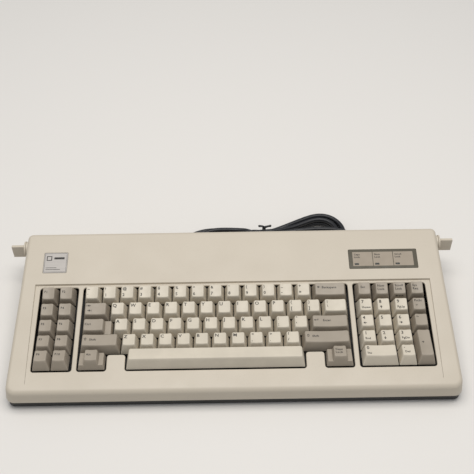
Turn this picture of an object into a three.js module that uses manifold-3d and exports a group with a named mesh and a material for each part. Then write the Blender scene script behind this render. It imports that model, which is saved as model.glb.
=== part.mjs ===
// Vintage 84-key buckling-spring desk keyboard: wedge case, curved key field, folding feet, cable.
// Millimetres. +X right, +Y to the rear, +Z up; the origin is on the desk under the case's centre.
import * as THREE from 'three';
import { mergeVertices } from 'three/addons/utils/BufferGeometryUtils.js';
import Module from 'manifold-3d';

const wasm = await Module();
wasm.setup();

// ---------------------------------------------------------------- driving dimensions
const RAD = Math.PI / 180;
const FIT_GAP = 0.3; // clearance between pieces that touch

// case
const CASE_HALF_WIDTH = 237.1; // at desk level; the walls lean in as they rise
const CASE_HALF_DEPTH = 99.2;
const SIDE_DRAFT = 0.129; // inward lean per mm of height
const END_DRAFT = 0.1;
const CASE_CORNER_R = 10;
const TOP_EDGE_R = 4;
const LIP_R = 10;
const WALL = 2.5;
const SEAM_Z = 10.5; // lower edge of the top cover
const FLOOR_Z = 1.6;
const FLOOR_THICK = 1.6;
const RIM_RISE = 3; // how far the pan's rim stands up inside the top cover
const PAN_INSET = WALL + FIT_GAP;
const PAN_WALL = 1.6;
const LEG_SLOT = { inner: 212, outer: 226, front: 28, rear: 92 }; // in the pan, under each leg
const CEILING_FRONT_Y = -88; // the ceiling steps down here towards the front wall
const CEILING_STEP = 6;
const BEYOND = 250; // past every face of the case, for cutting shapes

// the top is two planes that meet at the rear edge of the recessed key panel
const CREASE_Y = 28.9;
const CREASE_Z = 45.9;
const PALM_SLOPE = 0.1544;
const DECK_SLOPE = 0.184;
const PANEL_DROP = 2.3; // depth of the panel's rear step
const PANEL_FRONT_Y = -90; // where the panel runs out into the palm rest
const PANEL_REAR_HALF_WIDTH = 216;
const PANEL_FRONT_HALF_WIDTH = 214.5;

// key field
const UNIT = 19.05;
const KEY_ARC_R = 213; // radius through the key tops, across the rows
const HOME_TILT = 5 * RAD;
const HOME_Y = -23.1;
const HOME_Z = 40.4;
const BLOCK_GAP_LEFT = 0.473; // in key units
const BLOCK_GAP_RIGHT = 0.45;
const MAIN_CENTRE_X = -18.8;
const MAIN_UNITS = 15;
const KEY_CLEAR = 1.1; // from a block's outline to its opening's edge
const OPENING_FRONT_Y = -72.4;
const OPENING_REAR_Y = 26.1;
const TONGUE_REAR_Y = -54.8;
const OPENING_CORNER_R = 3;

// keycaps
const CAP_DEPTH = 18.2;
const CAP_SIDE_GAP = 0.85;
const CAP_TAPER = 5.93; // skirt width less top width
const CAP_TOP_DEPTH = 13.2;
const CAP_TOP_SHIFT = 0.76;
const CAP_HEIGHT = 12.1;
const CAP_WALL = 1.3;
const CAP_TOP_THICK = 2;
const STEM_SIZE = 5.6;
const STEM_END = -11.5;
const CAP_TOP_WALL = 1.1;
const STEP_Z = -7; // height of the low shelf on stepped caps
const SHELF_TAPER = 2.4;
const SHELF_TOP_THICK = 1.6;
const SHELF_SHIFT = 0.3;
const TURRET_INSET = 0.1; // how much less deep the raised part is than the shelf, at the skirt
const LINK_WEB = 1; // height and half width of the web between the caps of a run

// spring barrels and the curved sandwich under the keys
const BARREL_BASE = 12.4;
const BARREL_TOP = 10.2;
const BARREL_TOP_Z = -8;
const BARREL_BORE = 7.4;
const PLATE_R = 233;
const SHEET_FRONT = -8.9 * RAD;
const SHEET_REAR = 19 * RAD;
const SHEET_HALF_WIDTH = 210.5;
const SHEETS = { plate: 1.2, foam: 2, board: 1.6, back: 1.2 };
const PLATE_BOSS = { radius: 4, x: [-190, -60, 70, 190], y: [-62, 20], clearance: 1.6 };

// the space bar's levelling wire, from the middle of the bar's top: an axle low behind the
// stem, with an arm at each end
const WIRE = { radius: 0.8, halfSpan: 66, axleY: 9.2, axleZ: -17.8, armY: -2.8, armZ: -9.6, hook: 5 };

// controller board, flat behind the key field, and the parts standing on it
const BOARD = { x0: -10, x1: 130, y0: 42, y1: 88, z: 21, thick: 1.6 };
const BOARD_BOSS = { radius: 3.5, x: [0, 120], y: [48, 82] };
const BOARD_PARTS = [
  { x0: 20, x1: 71, y0: 50, y1: 64, height: 4.2 },
  { x0: 80, x1: 98, y0: 50, y1: 57, height: 3.6 },
  { x0: 104, x1: 116, y0: 62, y1: 67, height: 5 },
  { x0: -4, x1: 8, y0: 60, y1: 84, height: 8 },
];

// feet
const PIVOT_Y = 83.3;
const PIVOT_Z = 43;
const KNOB_R = 8.4;
const KNOB_INNER_X = 233.2;
const KNOB_OUTER_X = 234.9;
const TAB_TIP_X = 249.6;
const TAB_HEIGHT = 16.9;
const TAB_THICK = 3;
const TAB_DROP = 3.6; // tab centre below the pivot
const SHAFT_R = 5;
const SHAFT_BOSS = { radius: 7.9, innerX: 230.3 }; // raised rings on the case round the shafts
const LEG_INNER_X = 215.5;
const LEG_THICK = 7;
const LEG_LENGTH = 57.5;
const LEG_ROOT_R = 7;
const LEG_TIP_R = 4;
const LEG_FOLD_ANGLE = 32.6 * RAD; // below level, pointing forward

// deck fittings, in the plane of the deck
const INDICATOR = { x: 166.9, y: 54.9, width: 75.6, depth: 23.9, thick: 1.2 };
const BADGE = { x: -196.1, y: 55.6, width: 26, depth: 25.2, thick: 0.8 };
const LAMP = { width: 4.8, depth: 2.4, dx: -6.9, dy: -6.8, pitch: 22.6 };
const LAMP_BOARD = { halfWidth: 33, halfDepth: 8, z: -7, thick: 1.6, clearance: 0.7 };
const POCKET_CLEAR = 2; // how far cutting shapes stand above the deck

// cable
const CORD_D = 5.6;
const CORD_SIDES = 8;
const CORD_EXIT = new THREE.Vector3(-95, 97.2, 21);
const BOOT_LENGTH = 13;
const BOOT_NECK_R = 5;
const BOOT_HOLE_R = 5.5;
const HANK_BOTTOM = 1.3;
const HANK_HEIGHT = 14.5;
const TIE_X = 38;
const WAIST = [116.5, 136]; // front and rear of the hank where the tie holds it
const TIE_WIDTH = 3.6;
const TIE_THICK = 0.8;
const TIE_WING = { length: 9, halfWidth: 1, lean: -25, splay: 50, inset: 4, rise: 0.8 };
const PLUG = { x: 193, y: 113, z: 8.2, radius: 7.9, length: 30 };

// ---------------------------------------------------------------- materials
const finish = (color, roughness, metalness = 0) =>
  new THREE.MeshStandardMaterial({ color, roughness, metalness });
const FINISH = {
  caseCream: finish(0xcfc8b6, 0.55),
  panBlack: finish(0x1d1d1c, 0.6, 0.3),
  capWhite: finish(0xdedace, 0.5),
  capGrey: finish(0x9a9383, 0.52),
  barrelBlack: finish(0x232321, 0.6),
  steel: finish(0x9fa19f, 0.35, 0.9),
  foam: finish(0x3b3d42, 0.95),
  circuit: finish(0x3d6b45, 0.5),
  bezelOlive: finish(0x6c685b, 0.6),
  badgeSilver: finish(0xc6c4be, 0.35, 0.6),
  rubber: finish(0x2a2a29, 0.85),
  cableBlack: finish(0x17181b, 0.5),
  tieBlack: finish(0x121212, 0.7),
};

// ---------------------------------------------------------------- solid helpers
function toSolid(geometry) {
  const bare = geometry.clone();
  bare.deleteAttribute('normal');
  bare.deleteAttribute('uv');
  const merged = mergeVertices(bare, 1e-4);
  return new wasm.Manifold(new wasm.Mesh({
    numProp: 3,
    vertProperties: new Float32Array(merged.attributes.position.array),
    triVerts: new Uint32Array(merged.index.array),
  }));
}

function toGeometry(solid) {
  const { vertProperties, triVerts } = solid.getMesh();
  const geometry = new THREE.BufferGeometry();
  geometry.setAttribute('position', new THREE.BufferAttribute(new Float32Array(vertProperties), 3));
  geometry.setIndex(new THREE.BufferAttribute(new Uint32Array(triVerts), 1));
  geometry.computeVertexNormals();
  return geometry;
}

const cut = (solid, ...tools) => tools.reduce((rest, tool) => rest.subtract(tool), solid);
const join = (...solids) => solids.reduce((whole, next) => whole.add(next));

function box(x0, x1, y0, y1, z0, z1) {
  const geometry = new THREE.BoxGeometry(x1 - x0, y1 - y0, z1 - z0);
  return geometry.translate((x0 + x1) / 2, (y0 + y1) / 2, (z0 + z1) / 2);
}

// a box whose upper rectangle has its own width, depth and offset in Y
function taperedBox(bottom, top, z0, z1, topShiftY = 0) {
  const geometry = new THREE.BoxGeometry(1, 1, 1);
  const corners = geometry.attributes.position;
  for (let i = 0; i < corners.count; i += 1) {
    const upper = corners.getZ(i) > 0;
    const [width, depth] = upper ? top : bottom;
    const y = corners.getY(i) * depth + (upper ? topShiftY : 0);
    corners.setXYZ(i, corners.getX(i) * width, y, upper ? z1 : z0);
  }
  return geometry;
}

function cylinderAlongX(radius, x0, x1, y, z, sides) {
  const geometry = new THREE.CylinderGeometry(radius, radius, x1 - x0, sides);
  return geometry.rotateZ(Math.PI / 2).translate((x0 + x1) / 2, y, z);
}

function post(radius, x, y, z0, z1, sides = 8) {
  const geometry = new THREE.CylinderGeometry(radius, radius, z1 - z0, sides);
  return geometry.rotateX(Math.PI / 2).translate(x, y, (z0 + z1) / 2);
}

// a side-view outline, drawn in (Y, Z), swept from x0 to x1
function prismAlongX(outline, x0, x1, curveSegments = 6) {
  const geometry = new THREE.ExtrudeGeometry(outline, {
    depth: x1 - x0, bevelEnabled: false, curveSegments,
  });
  const turn = new THREE.Matrix4().set(0, 0, 1, x0, 1, 0, 0, 0, 0, 1, 0, 0, 0, 0, 0, 1);
  return geometry.applyMatrix4(turn);
}

function polygon(points) {
  return new THREE.Shape(points.map(([u, v]) => new THREE.Vector2(u, v)));
}

function roundedRect(x0, x1, y0, y1, radius) {
  const shape = new THREE.Shape();
  shape.moveTo(x0 + radius, y0);
  shape.lineTo(x1 - radius, y0);
  shape.absarc(x1 - radius, y0 + radius, radius, -Math.PI / 2, 0);
  shape.lineTo(x1, y1 - radius);
  shape.absarc(x1 - radius, y1 - radius, radius, 0, Math.PI / 2);
  shape.lineTo(x0 + radius, y1);
  shape.absarc(x0 + radius, y1 - radius, radius, Math.PI / 2, Math.PI);
  shape.lineTo(x0, y0 + radius);
  shape.absarc(x0 + radius, y0 + radius, radius, Math.PI, 1.5 * Math.PI);
  return shape;
}

function prismAlongZ(outline, z0, z1, curveSegments = 3) {
  const geometry = new THREE.ExtrudeGeometry(outline, {
    depth: z1 - z0, bevelEnabled: false, curveSegments,
  });
  return geometry.translate(0, 0, z0);
}

// ---------------------------------------------------------------- the assembly
const keyboard = new THREE.Group();

function addPiece(name, geometry, material, parent = keyboard) {
  const piece = new THREE.Mesh(geometry, material);
  piece.name = name;
  parent.add(piece);
  return piece;
}

const palmZ = (y) => CREASE_Z + PALM_SLOPE * (y - CREASE_Y);
const deckZ = (y) => CREASE_Z + DECK_SLOPE * (y - CREASE_Y);
const panelSlope = (CREASE_Z - PANEL_DROP - palmZ(PANEL_FRONT_Y)) / (CREASE_Y - PANEL_FRONT_Y);
const panelZ = (y) => palmZ(PANEL_FRONT_Y) + panelSlope * (y - PANEL_FRONT_Y);

// A wedge: a rounded plan outline whose walls lean in with height, closed by a sloping plane
// that crosses y = 0 at height `level`, with a rounded top edge. `inset` moves every face inward.
function wedge(level, slope, inset, edgeRadius) {
  const halfWidth = CASE_HALF_WIDTH - inset;
  const halfDepth = CASE_HALF_DEPTH - inset;
  const outline = roundedRect(
    -halfWidth + edgeRadius, halfWidth - edgeRadius,
    -halfDepth + edgeRadius, halfDepth - edgeRadius, CASE_CORNER_R - inset - edgeRadius,
  );
  const unitHeight = 100;
  const base = -5;
  const geometry = new THREE.ExtrudeGeometry(outline, {
    depth: unitHeight, curveSegments: 3, bevelEnabled: edgeRadius > 0,
    bevelSize: edgeRadius, bevelThickness: edgeRadius, bevelSegments: 3,
  });
  const corners = geometry.attributes.position;
  const lean = END_DRAFT / halfDepth;
  for (let i = 0; i < corners.count; i += 1) {
    const raw = corners.getZ(i);
    const plainY = corners.getY(i);
    let z = base + Math.min(raw, 0) * 0.01;
    let y = plainY * (1 - lean * z);
    if (raw >= unitHeight) {
      // where the leaning wall meets the plane, less this ring's drop round the edge
      const ringLevel = level - inset - edgeRadius + (raw - unitHeight);
      y = (plainY * (1 - lean * ringLevel)) / (1 + plainY * lean * slope);
      z = ringLevel + slope * y;
    }
    corners.setXYZ(i, corners.getX(i) * (1 - (SIDE_DRAFT * z) / halfWidth), y, z);
  }
  return toSolid(geometry);
}

// the case's outer body: the higher of the palm plane and the rear deck plane
function caseBody(inset, edgeRadius) {
  return join(
    wedge(palmZ(0), PALM_SLOPE, inset, edgeRadius),
    wedge(deckZ(0), DECK_SLOPE, inset, edgeRadius),
  );
}

// side view of the top cover's limits: the seam below and the rounded front lip
function topCoverOutline() {
  const front = -CASE_HALF_DEPTH + END_DRAFT * SEAM_Z;
  const tilt = Math.atan(PALM_SLOPE);
  // centre of the lip's arc, tangent to the front wall and to the palm plane
  const lipY = front + LIP_R;
  const lipZ = palmZ(lipY) - LIP_R / Math.cos(tilt);
  const outline = new THREE.Shape();
  outline.moveTo(BEYOND, SEAM_Z);
  outline.lineTo(BEYOND, BEYOND);
  outline.lineTo(CREASE_Y, BEYOND);
  outline.lineTo(CREASE_Y, CREASE_Z);
  outline.absarc(lipY, lipZ, LIP_R, Math.PI / 2 + tilt, Math.PI);
  outline.lineTo(front, SEAM_Z);
  return outline;
}

const mainLeft = MAIN_CENTRE_X - (MAIN_UNITS * UNIT) / 2;
const functionLeft = mainLeft - (2 + BLOCK_GAP_LEFT) * UNIT;
const numpadLeft = mainLeft + (MAIN_UNITS + BLOCK_GAP_RIGHT) * UNIT;

function keyOpenings() {
  const opening = (left, units, y0, y1) => toSolid(prismAlongZ(roundedRect(
    left - KEY_CLEAR, left + units * UNIT + KEY_CLEAR, y0, y1, OPENING_CORNER_R,
  ), 0, BEYOND));
  const frontRow = (left, units) => opening(
    mainLeft + left * UNIT, units, OPENING_FRONT_Y, TONGUE_REAR_Y + 2 * OPENING_CORNER_R,
  );
  return join(
    opening(functionLeft, 2, OPENING_FRONT_Y, OPENING_REAR_Y),
    opening(numpadLeft, 4, OPENING_FRONT_Y, OPENING_REAR_Y),
    opening(mainLeft, MAIN_UNITS, TONGUE_REAR_Y, OPENING_REAR_Y),
    frontRow(0, 1.5),
    frontRow(2.625, 9.75),
    frontRow(13.5, 1.5),
  );
}

const deckTilt = Math.atan(DECK_SLOPE);

// a solid drawn in a fitting's own plane, moved to its place on the deck
function onDeck(fitting, solid) {
  return solid.rotate([deckTilt / RAD, 0, 0]).translate([fitting.x, fitting.y, deckZ(fitting.y)]);
}

function deckPocket(fitting) {
  const halfWidth = fitting.width / 2 + FIT_GAP;
  const halfDepth = fitting.depth / 2 + FIT_GAP;
  const floor = -fitting.thick - FIT_GAP;
  return onDeck(fitting, toSolid(box(
    -halfWidth, halfWidth, -halfDepth, halfDepth, floor, POCKET_CLEAR,
  )));
}

// the shallow recess round the key blocks, wider at the rear than at the front
function panelRecess() {
  const sideView = toSolid(prismAlongX(polygon([
    [PANEL_FRONT_Y, palmZ(PANEL_FRONT_Y)], [CREASE_Y, panelZ(CREASE_Y)], [CREASE_Y, BEYOND],
    [PANEL_FRONT_Y, BEYOND],
  ]), -BEYOND, BEYOND));
  const plan = toSolid(prismAlongZ(polygon([
    [-PANEL_FRONT_HALF_WIDTH, PANEL_FRONT_Y - 1], [PANEL_FRONT_HALF_WIDTH, PANEL_FRONT_Y - 1],
    [PANEL_REAR_HALF_WIDTH, CREASE_Y + 1], [-PANEL_REAR_HALF_WIDTH, CREASE_Y + 1],
  ]), 0, BEYOND));
  return sideView.intersect(plan);
}

function topCover() {
  const limits = toSolid(prismAlongX(topCoverOutline(), -BEYOND, BEYOND, 5));
  const behindPanel = CREASE_Y + WALL;
  const ceiling = palmZ(CEILING_FRONT_Y) - WALL;
  const hollow = toSolid(prismAlongX(polygon([
    [-BEYOND, 0], [BEYOND, 0], [BEYOND, BEYOND], [behindPanel, BEYOND],
    [behindPanel, panelZ(behindPanel) - WALL], [CEILING_FRONT_Y, ceiling],
    [CEILING_FRONT_Y - CEILING_STEP, ceiling - CEILING_STEP], [-BEYOND, ceiling - CEILING_STEP],
  ]), -BEYOND, BEYOND)).intersect(caseBody(WALL, 0));
  const shaftHole = toSolid(cylinderAlongX(
    SHAFT_R + FIT_GAP, -BEYOND, BEYOND, PIVOT_Y, PIVOT_Z, 16,
  ));
  const shaftBoss = toSolid(cylinderAlongX(
    SHAFT_BOSS.radius, SHAFT_BOSS.innerX, KNOB_INNER_X - FIT_GAP, PIVOT_Y, PIVOT_Z, 28,
  ));
  const cordHole = toSolid(new THREE.CylinderGeometry(BOOT_HOLE_R, BOOT_HOLE_R, 20, 16)
    .translate(CORD_EXIT.x, CORD_EXIT.y, CORD_EXIT.z));
  const lampX = LAMP_BOARD.halfWidth + 1.5;
  const lampY = LAMP_BOARD.halfDepth + LAMP_BOARD.clearance;
  const lampHole = onDeck(INDICATOR, toSolid(box(
    -lampX, lampX, -lampY, lampY, LAMP_BOARD.z - 1, POCKET_CLEAR,
  )));
  const shell = cut(
    caseBody(0, TOP_EDGE_R).intersect(limits), panelRecess(), hollow, keyOpenings(),
    deckPocket(INDICATOR), deckPocket(BADGE), lampHole, cordHole,
  );
  return cut(join(shell, shaftBoss, shaftBoss.mirror([1, 0, 0])), shaftHole);
}

addPiece('top_cover', toGeometry(topCover()), FINISH.caseCream);

// ---------------------------------------------------------------- key field geometry
const arcY = HOME_Y - KEY_ARC_R * Math.sin(HOME_TILT);
const arcZ = HOME_Z + KEY_ARC_R * Math.cos(HOME_TILT);
const rowAngle = (row) => HOME_TILT + ((3 - row) * UNIT) / KEY_ARC_R;
const foamR = PLATE_R + SHEETS.plate + FIT_GAP;
const boardR = foamR + SHEETS.foam + FIT_GAP;
const backR = boardR + SHEETS.board + FIT_GAP;

// turns a piece drawn at the top of a row into its place on the arc
function standOnRow(piece, row) {
  const angle = rowAngle(row);
  piece.position.set(0, arcY + KEY_ARC_R * Math.sin(angle), arcZ - KEY_ARC_R * Math.cos(angle));
  piece.rotation.x = angle;
}

function hollowCap(width, depth, topDepth) {
  const outer = toSolid(taperedBox(
    [width, depth], [width - CAP_TAPER, topDepth], -CAP_HEIGHT, 0, CAP_TOP_SHIFT,
  ));
  const inner = toSolid(taperedBox(
    [width - 2 * CAP_WALL, depth - 2 * CAP_WALL],
    [width - CAP_TAPER - 2 * CAP_TOP_WALL, topDepth - 2 * CAP_TOP_WALL],
    -CAP_HEIGHT - 0.01, -CAP_TOP_THICK, CAP_TOP_SHIFT,
  ));
  return { outer, inner };
}

const stem = (x = 0) => toSolid(box(
  x - STEM_SIZE / 2, x + STEM_SIZE / 2, -STEM_SIZE / 2, STEM_SIZE / 2, STEM_END, -1,
));

function plainCap(units, tallUnits = 1) {
  const width = units * UNIT - CAP_SIDE_GAP;
  const extra = (tallUnits - 1) * UNIT;
  const { outer, inner } = hollowCap(width, CAP_DEPTH + extra, CAP_TOP_DEPTH + extra);
  return join(cut(outer, inner), stem());
}

// a cap with a raised top of `topUnits` standing on a low shelf of the full width
function steppedCap(units, topUnits, topX) {
  const width = units * UNIT - CAP_SIDE_GAP;
  const topWidth = topUnits * UNIT - CAP_SIDE_GAP;
  const shelf = toSolid(taperedBox(
    [width, CAP_DEPTH], [width - SHELF_TAPER, CAP_DEPTH - SHELF_TAPER],
    -CAP_HEIGHT, STEP_Z, SHELF_SHIFT,
  ));
  const thinning = 2 * CAP_WALL;
  const shelfHollow = toSolid(taperedBox(
    [width - thinning, CAP_DEPTH - thinning],
    [width - SHELF_TAPER - thinning, CAP_DEPTH - SHELF_TAPER - thinning],
    -CAP_HEIGHT - 0.01, STEP_Z - SHELF_TOP_THICK, SHELF_SHIFT,
  ));
  const raised = hollowCap(topWidth, CAP_DEPTH - TURRET_INSET, CAP_TOP_DEPTH);
  const turret = raised.outer.translate([topX, 0, 0]);
  const turretHollow = raised.inner.translate([topX, 0, 0]);
  return join(cut(join(shelf, turret), shelfHollow, turretHollow), stem(topX));
}

// several unit caps side by side, tied by a small web low between their skirts
function capRun(count) {
  const pieces = [];
  for (let i = 0; i < count; i += 1) {
    const x = (i - (count - 1) / 2) * UNIT;
    pieces.push(plainCap(1).translate([x, 0, 0]));
    if (i > 0) {
      const seam = x - UNIT / 2;
      pieces.push(toSolid(box(
        seam - LINK_WEB, seam + LINK_WEB, -1.5, 1.5, -CAP_HEIGHT, -CAP_HEIGHT + LINK_WEB,
      )));
    }
  }
  return join(...pieces);
}

// barrel positions gathered while the keys are laid out: [x, row]
const barrels = [];

function addKey(name, solid, material, x, row) {
  const key = addPiece(name, toGeometry(solid), material);
  standOnRow(key, row);
  key.position.x = x;
}

function layKeys(left, row, entries) {
  let cursor = left;
  for (const { name, units = 1, count = 1, grey = false, step, gap = 0 } of entries) {
    if (gap) {
      cursor += gap * UNIT;
      continue;
    }
    const width = units * count * UNIT;
    const x = cursor + width / 2;
    let solid = count > 1 ? capRun(count) : plainCap(units);
    let barrelX = x;
    if (step) {
      solid = steppedCap(units, step.units, step.x);
      barrelX = x + step.x;
    }
    addKey(name, solid, grey ? FINISH.capGrey : FINISH.capWhite, x, row);
    for (let i = 0; i < count; i += 1) {
      barrels.push([barrelX + (i - (count - 1) / 2) * UNIT, row]);
    }
    cursor += width;
  }
}

for (let row = 1; row <= 5; row += 1) {
  layKeys(functionLeft, row, [
    { name: `keys_f${2 * row - 1}_f${2 * row}`, count: 2, grey: true },
  ]);
}

layKeys(mainLeft, 1, [
  { name: 'keys_digit_row_left', count: 5 },
  { name: 'keys_digit_row_middle', count: 4 },
  { name: 'keys_digit_row_right', count: 4 },
  { name: 'key_backspace', units: 2, grey: true },
]);
layKeys(mainLeft, 2, [
  { name: 'key_tab', units: 1.5, grey: true },
  { name: 'keys_upper_row_left', count: 4 },
  { name: 'keys_upper_row_middle', count: 4 },
  { name: 'keys_upper_row_right', count: 4 },
  { name: 'key_backslash', units: 1.5 },
]);
layKeys(mainLeft, 3, [
  { name: 'key_ctrl', units: 1.75, grey: true, step: { units: 1.5, x: -0.125 * UNIT } },
  { name: 'keys_home_row_left', count: 6 },
  { name: 'keys_home_row_right', count: 5 },
  { name: 'key_enter', units: 2.25, grey: true },
]);
layKeys(mainLeft, 4, [
  { name: 'key_shift_left', units: 2.25, grey: true },
  { name: 'keys_lower_row_left', count: 5 },
  { name: 'keys_lower_row_right', count: 5 },
  { name: 'key_shift_right', units: 2.75, grey: true },
]);
layKeys(mainLeft, 5, [
  { name: 'key_alt', units: 1.5, grey: true, step: { units: 1, x: 0 } },
  { gap: 1.125 },
  { name: 'key_space', units: 9.75 },
  { gap: 1.125 },
  { name: 'key_caps_lock', units: 1.5, grey: true, step: { units: 1, x: 0 } },
]);

layKeys(numpadLeft, 1, [
  { name: 'key_escape', grey: true },
  { name: 'key_num_lock', grey: true },
  { name: 'key_scroll_lock', grey: true },
  { name: 'key_sys_req', grey: true },
]);
layKeys(numpadLeft, 2, [
  { name: 'keys_pad_7_8_9', count: 3 },
  { name: 'key_print_screen', grey: true },
]);
layKeys(numpadLeft, 3, [
  { name: 'keys_pad_4_5_6', count: 3 },
  { name: 'key_pad_minus', grey: true },
]);
layKeys(numpadLeft, 4, [{ name: 'keys_pad_1_2_3', count: 3 }]);
layKeys(numpadLeft, 5, [{ name: 'key_pad_0', units: 2 }, { name: 'key_pad_point' }]);

const plusX = numpadLeft + 3.5 * UNIT;
addKey('key_pad_plus', plainCap(1, 2), FINISH.capGrey, plusX, 4.5);
barrels.push([plusX, 4.5]);

// ---------------------------------------------------------------- curved sandwich under the keys
// a sheet bent to the key field's arc, `thick` deep from radius `inner`
function curvedSheet(inner, thick, halfWidth = SHEET_HALF_WIDTH) {
  const outline = new THREE.Shape();
  const side = (radius, from, to, clockwise) => outline.absarc(
    arcY, arcZ, radius, from - Math.PI / 2, to - Math.PI / 2, clockwise,
  );
  side(inner + thick, SHEET_FRONT, SHEET_REAR, false);
  side(inner, SHEET_REAR, SHEET_FRONT, true);
  outline.closePath();
  return prismAlongX(outline, -halfWidth, halfWidth, 8);
}

function barrelPlate() {
  const wall = toSolid(taperedBox(
    [BARREL_BASE, BARREL_BASE], [BARREL_TOP, BARREL_TOP], KEY_ARC_R - PLATE_R - 0.8, BARREL_TOP_Z,
  ));
  const half = BARREL_BORE / 2;
  const barrel = cut(wall, toSolid(box(-half, half, -half, half, KEY_ARC_R - PLATE_R + 1, 0)));
  const placed = barrels.map(([x, row]) => {
    const angle = rowAngle(row);
    const y = arcY + KEY_ARC_R * Math.sin(angle);
    const z = arcZ - KEY_ARC_R * Math.cos(angle);
    return barrel.rotate([angle / RAD, 0, 0]).translate([x, y, z]);
  });
  return join(toSolid(curvedSheet(PLATE_R, SHEETS.plate)), ...placed);
}

addPiece('barrel_plate', toGeometry(barrelPlate()), FINISH.barrelBlack);
addPiece('foam_mat', curvedSheet(foamR, SHEETS.foam), FINISH.foam);
addPiece('sensor_board', curvedSheet(boardR, SHEETS.board), FINISH.circuit);
addPiece('back_plate', curvedSheet(backR, SHEETS.back), FINISH.steel);

// ---------------------------------------------------------------- bottom cover
// a steel pan whose rim stands inside the top cover's walls, slotted for the legs, with bosses
// that carry the back plate and the controller board
function bottomCover() {
  const floorTop = FLOOR_Z + FLOOR_THICK;
  const band = (z0, z1) => toSolid(box(-BEYOND, BEYOND, -BEYOND, BEYOND, z0, z1));
  const outside = caseBody(PAN_INSET, 0).intersect(band(FLOOR_Z, SEAM_Z + RIM_RISE));
  const inside = caseBody(PAN_INSET + PAN_WALL, 0).intersect(band(floorTop, BEYOND));
  const { inner, outer, front, rear } = LEG_SLOT;
  const slots = [
    toSolid(box(-outer, -inner, front, rear, 0, floorTop + 1)),
    toSolid(box(inner, outer, front, rear, 0, floorTop + 1)),
  ];
  const bosses = ({ radius, x, y }, topAt) => x.flatMap((bx) => y.map(
    (by) => toSolid(post(radius, bx, by, floorTop - 1, topAt(by))),
  ));
  const backPlateZ = (y) => arcZ - Math.sqrt((backR + SHEETS.back) ** 2 - (y - arcY) ** 2);
  return join(
    cut(outside, inside, ...slots),
    ...bosses(PLATE_BOSS, (y) => backPlateZ(y) - PLATE_BOSS.clearance),
    ...bosses(BOARD_BOSS, () => BOARD.z - FIT_GAP),
  );
}

addPiece('bottom_cover', toGeometry(bottomCover()), FINISH.panBlack);

// ---------------------------------------------------------------- space bar wire
function levellingWire() {
  const { radius, halfSpan, axleY, axleZ, armY, armZ, hook } = WIRE;
  const reach = Math.hypot(armY - axleY, armZ - axleZ);
  const lean = Math.atan2(armZ - axleZ, armY - axleY);
  const rod = (x0, x1, y, z) => toSolid(cylinderAlongX(radius, x0, x1, y, z, 8));
  const arm = (x) => toSolid(new THREE.CylinderGeometry(radius, radius, reach, 8)
    .rotateX(lean).translate(x, (armY + axleY) / 2, (armZ + axleZ) / 2));
  return join(
    rod(-halfSpan - radius, halfSpan + radius, axleY, axleZ),
    arm(-halfSpan),
    arm(halfSpan),
    rod(-halfSpan - hook, -halfSpan + radius, armY, armZ),
    rod(halfSpan - radius, halfSpan + hook, armY, armZ),
  );
}

const wire = addPiece('space_bar_wire', toGeometry(levellingWire()), FINISH.steel);
standOnRow(wire, 5);
wire.position.x = MAIN_CENTRE_X;

// ---------------------------------------------------------------- circuit boards behind the keys
function controllerBoard() {
  const top = BOARD.z + BOARD.thick;
  return join(
    toSolid(box(BOARD.x0, BOARD.x1, BOARD.y0, BOARD.y1, BOARD.z, top)),
    ...BOARD_PARTS.map(({ x0, x1, y0, y1, height }) => toSolid(box(
      x0, x1, y0, y1, top - 0.5, top + height,
    ))),
  );
}

addPiece('controller_board', toGeometry(controllerBoard()), FINISH.circuit);

// ---------------------------------------------------------------- deck fittings
function seatOnDeck(piece, fitting) {
  piece.rotation.x = deckTilt;
  piece.position.set(fitting.x, fitting.y, deckZ(fitting.y));
}

const lampX = [-1, 0, 1].map((i) => i * LAMP.pitch + LAMP.dx);

function indicatorPlate() {
  const { width, depth, thick } = INDICATOR;
  const plate = toSolid(box(-width / 2, width / 2, -depth / 2, depth / 2, -thick, 0));
  const windows = lampX.map((x) => toSolid(box(
    x - LAMP.width / 2, x + LAMP.width / 2, LAMP.dy - LAMP.depth / 2, LAMP.dy + LAMP.depth / 2,
    -thick - 1, 1,
  )));
  return cut(plate, ...windows);
}

function indicatorBoard() {
  const { halfWidth, halfDepth, z, thick } = LAMP_BOARD;
  const board = toSolid(box(-halfWidth, halfWidth, -halfDepth, halfDepth, z, z + thick));
  const lamps = lampX.map((x) => toSolid(box(
    x - LAMP.width / 2 + FIT_GAP, x + LAMP.width / 2 - FIT_GAP,
    LAMP.dy - LAMP.depth / 2 + FIT_GAP, LAMP.dy + LAMP.depth / 2 - FIT_GAP, z + 1, -FIT_GAP,
  )));
  return join(board, ...lamps);
}

seatOnDeck(addPiece('indicator_plate', toGeometry(indicatorPlate()), FINISH.bezelOlive), INDICATOR);
seatOnDeck(addPiece('indicator_board', toGeometry(indicatorBoard()), FINISH.circuit), INDICATOR);
const badge = new THREE.BoxGeometry(BADGE.width, BADGE.depth, BADGE.thick);
badge.translate(0, 0, -BADGE.thick / 2);
seatOnDeck(addPiece('badge_plate', badge, FINISH.badgeSilver), BADGE);

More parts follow.
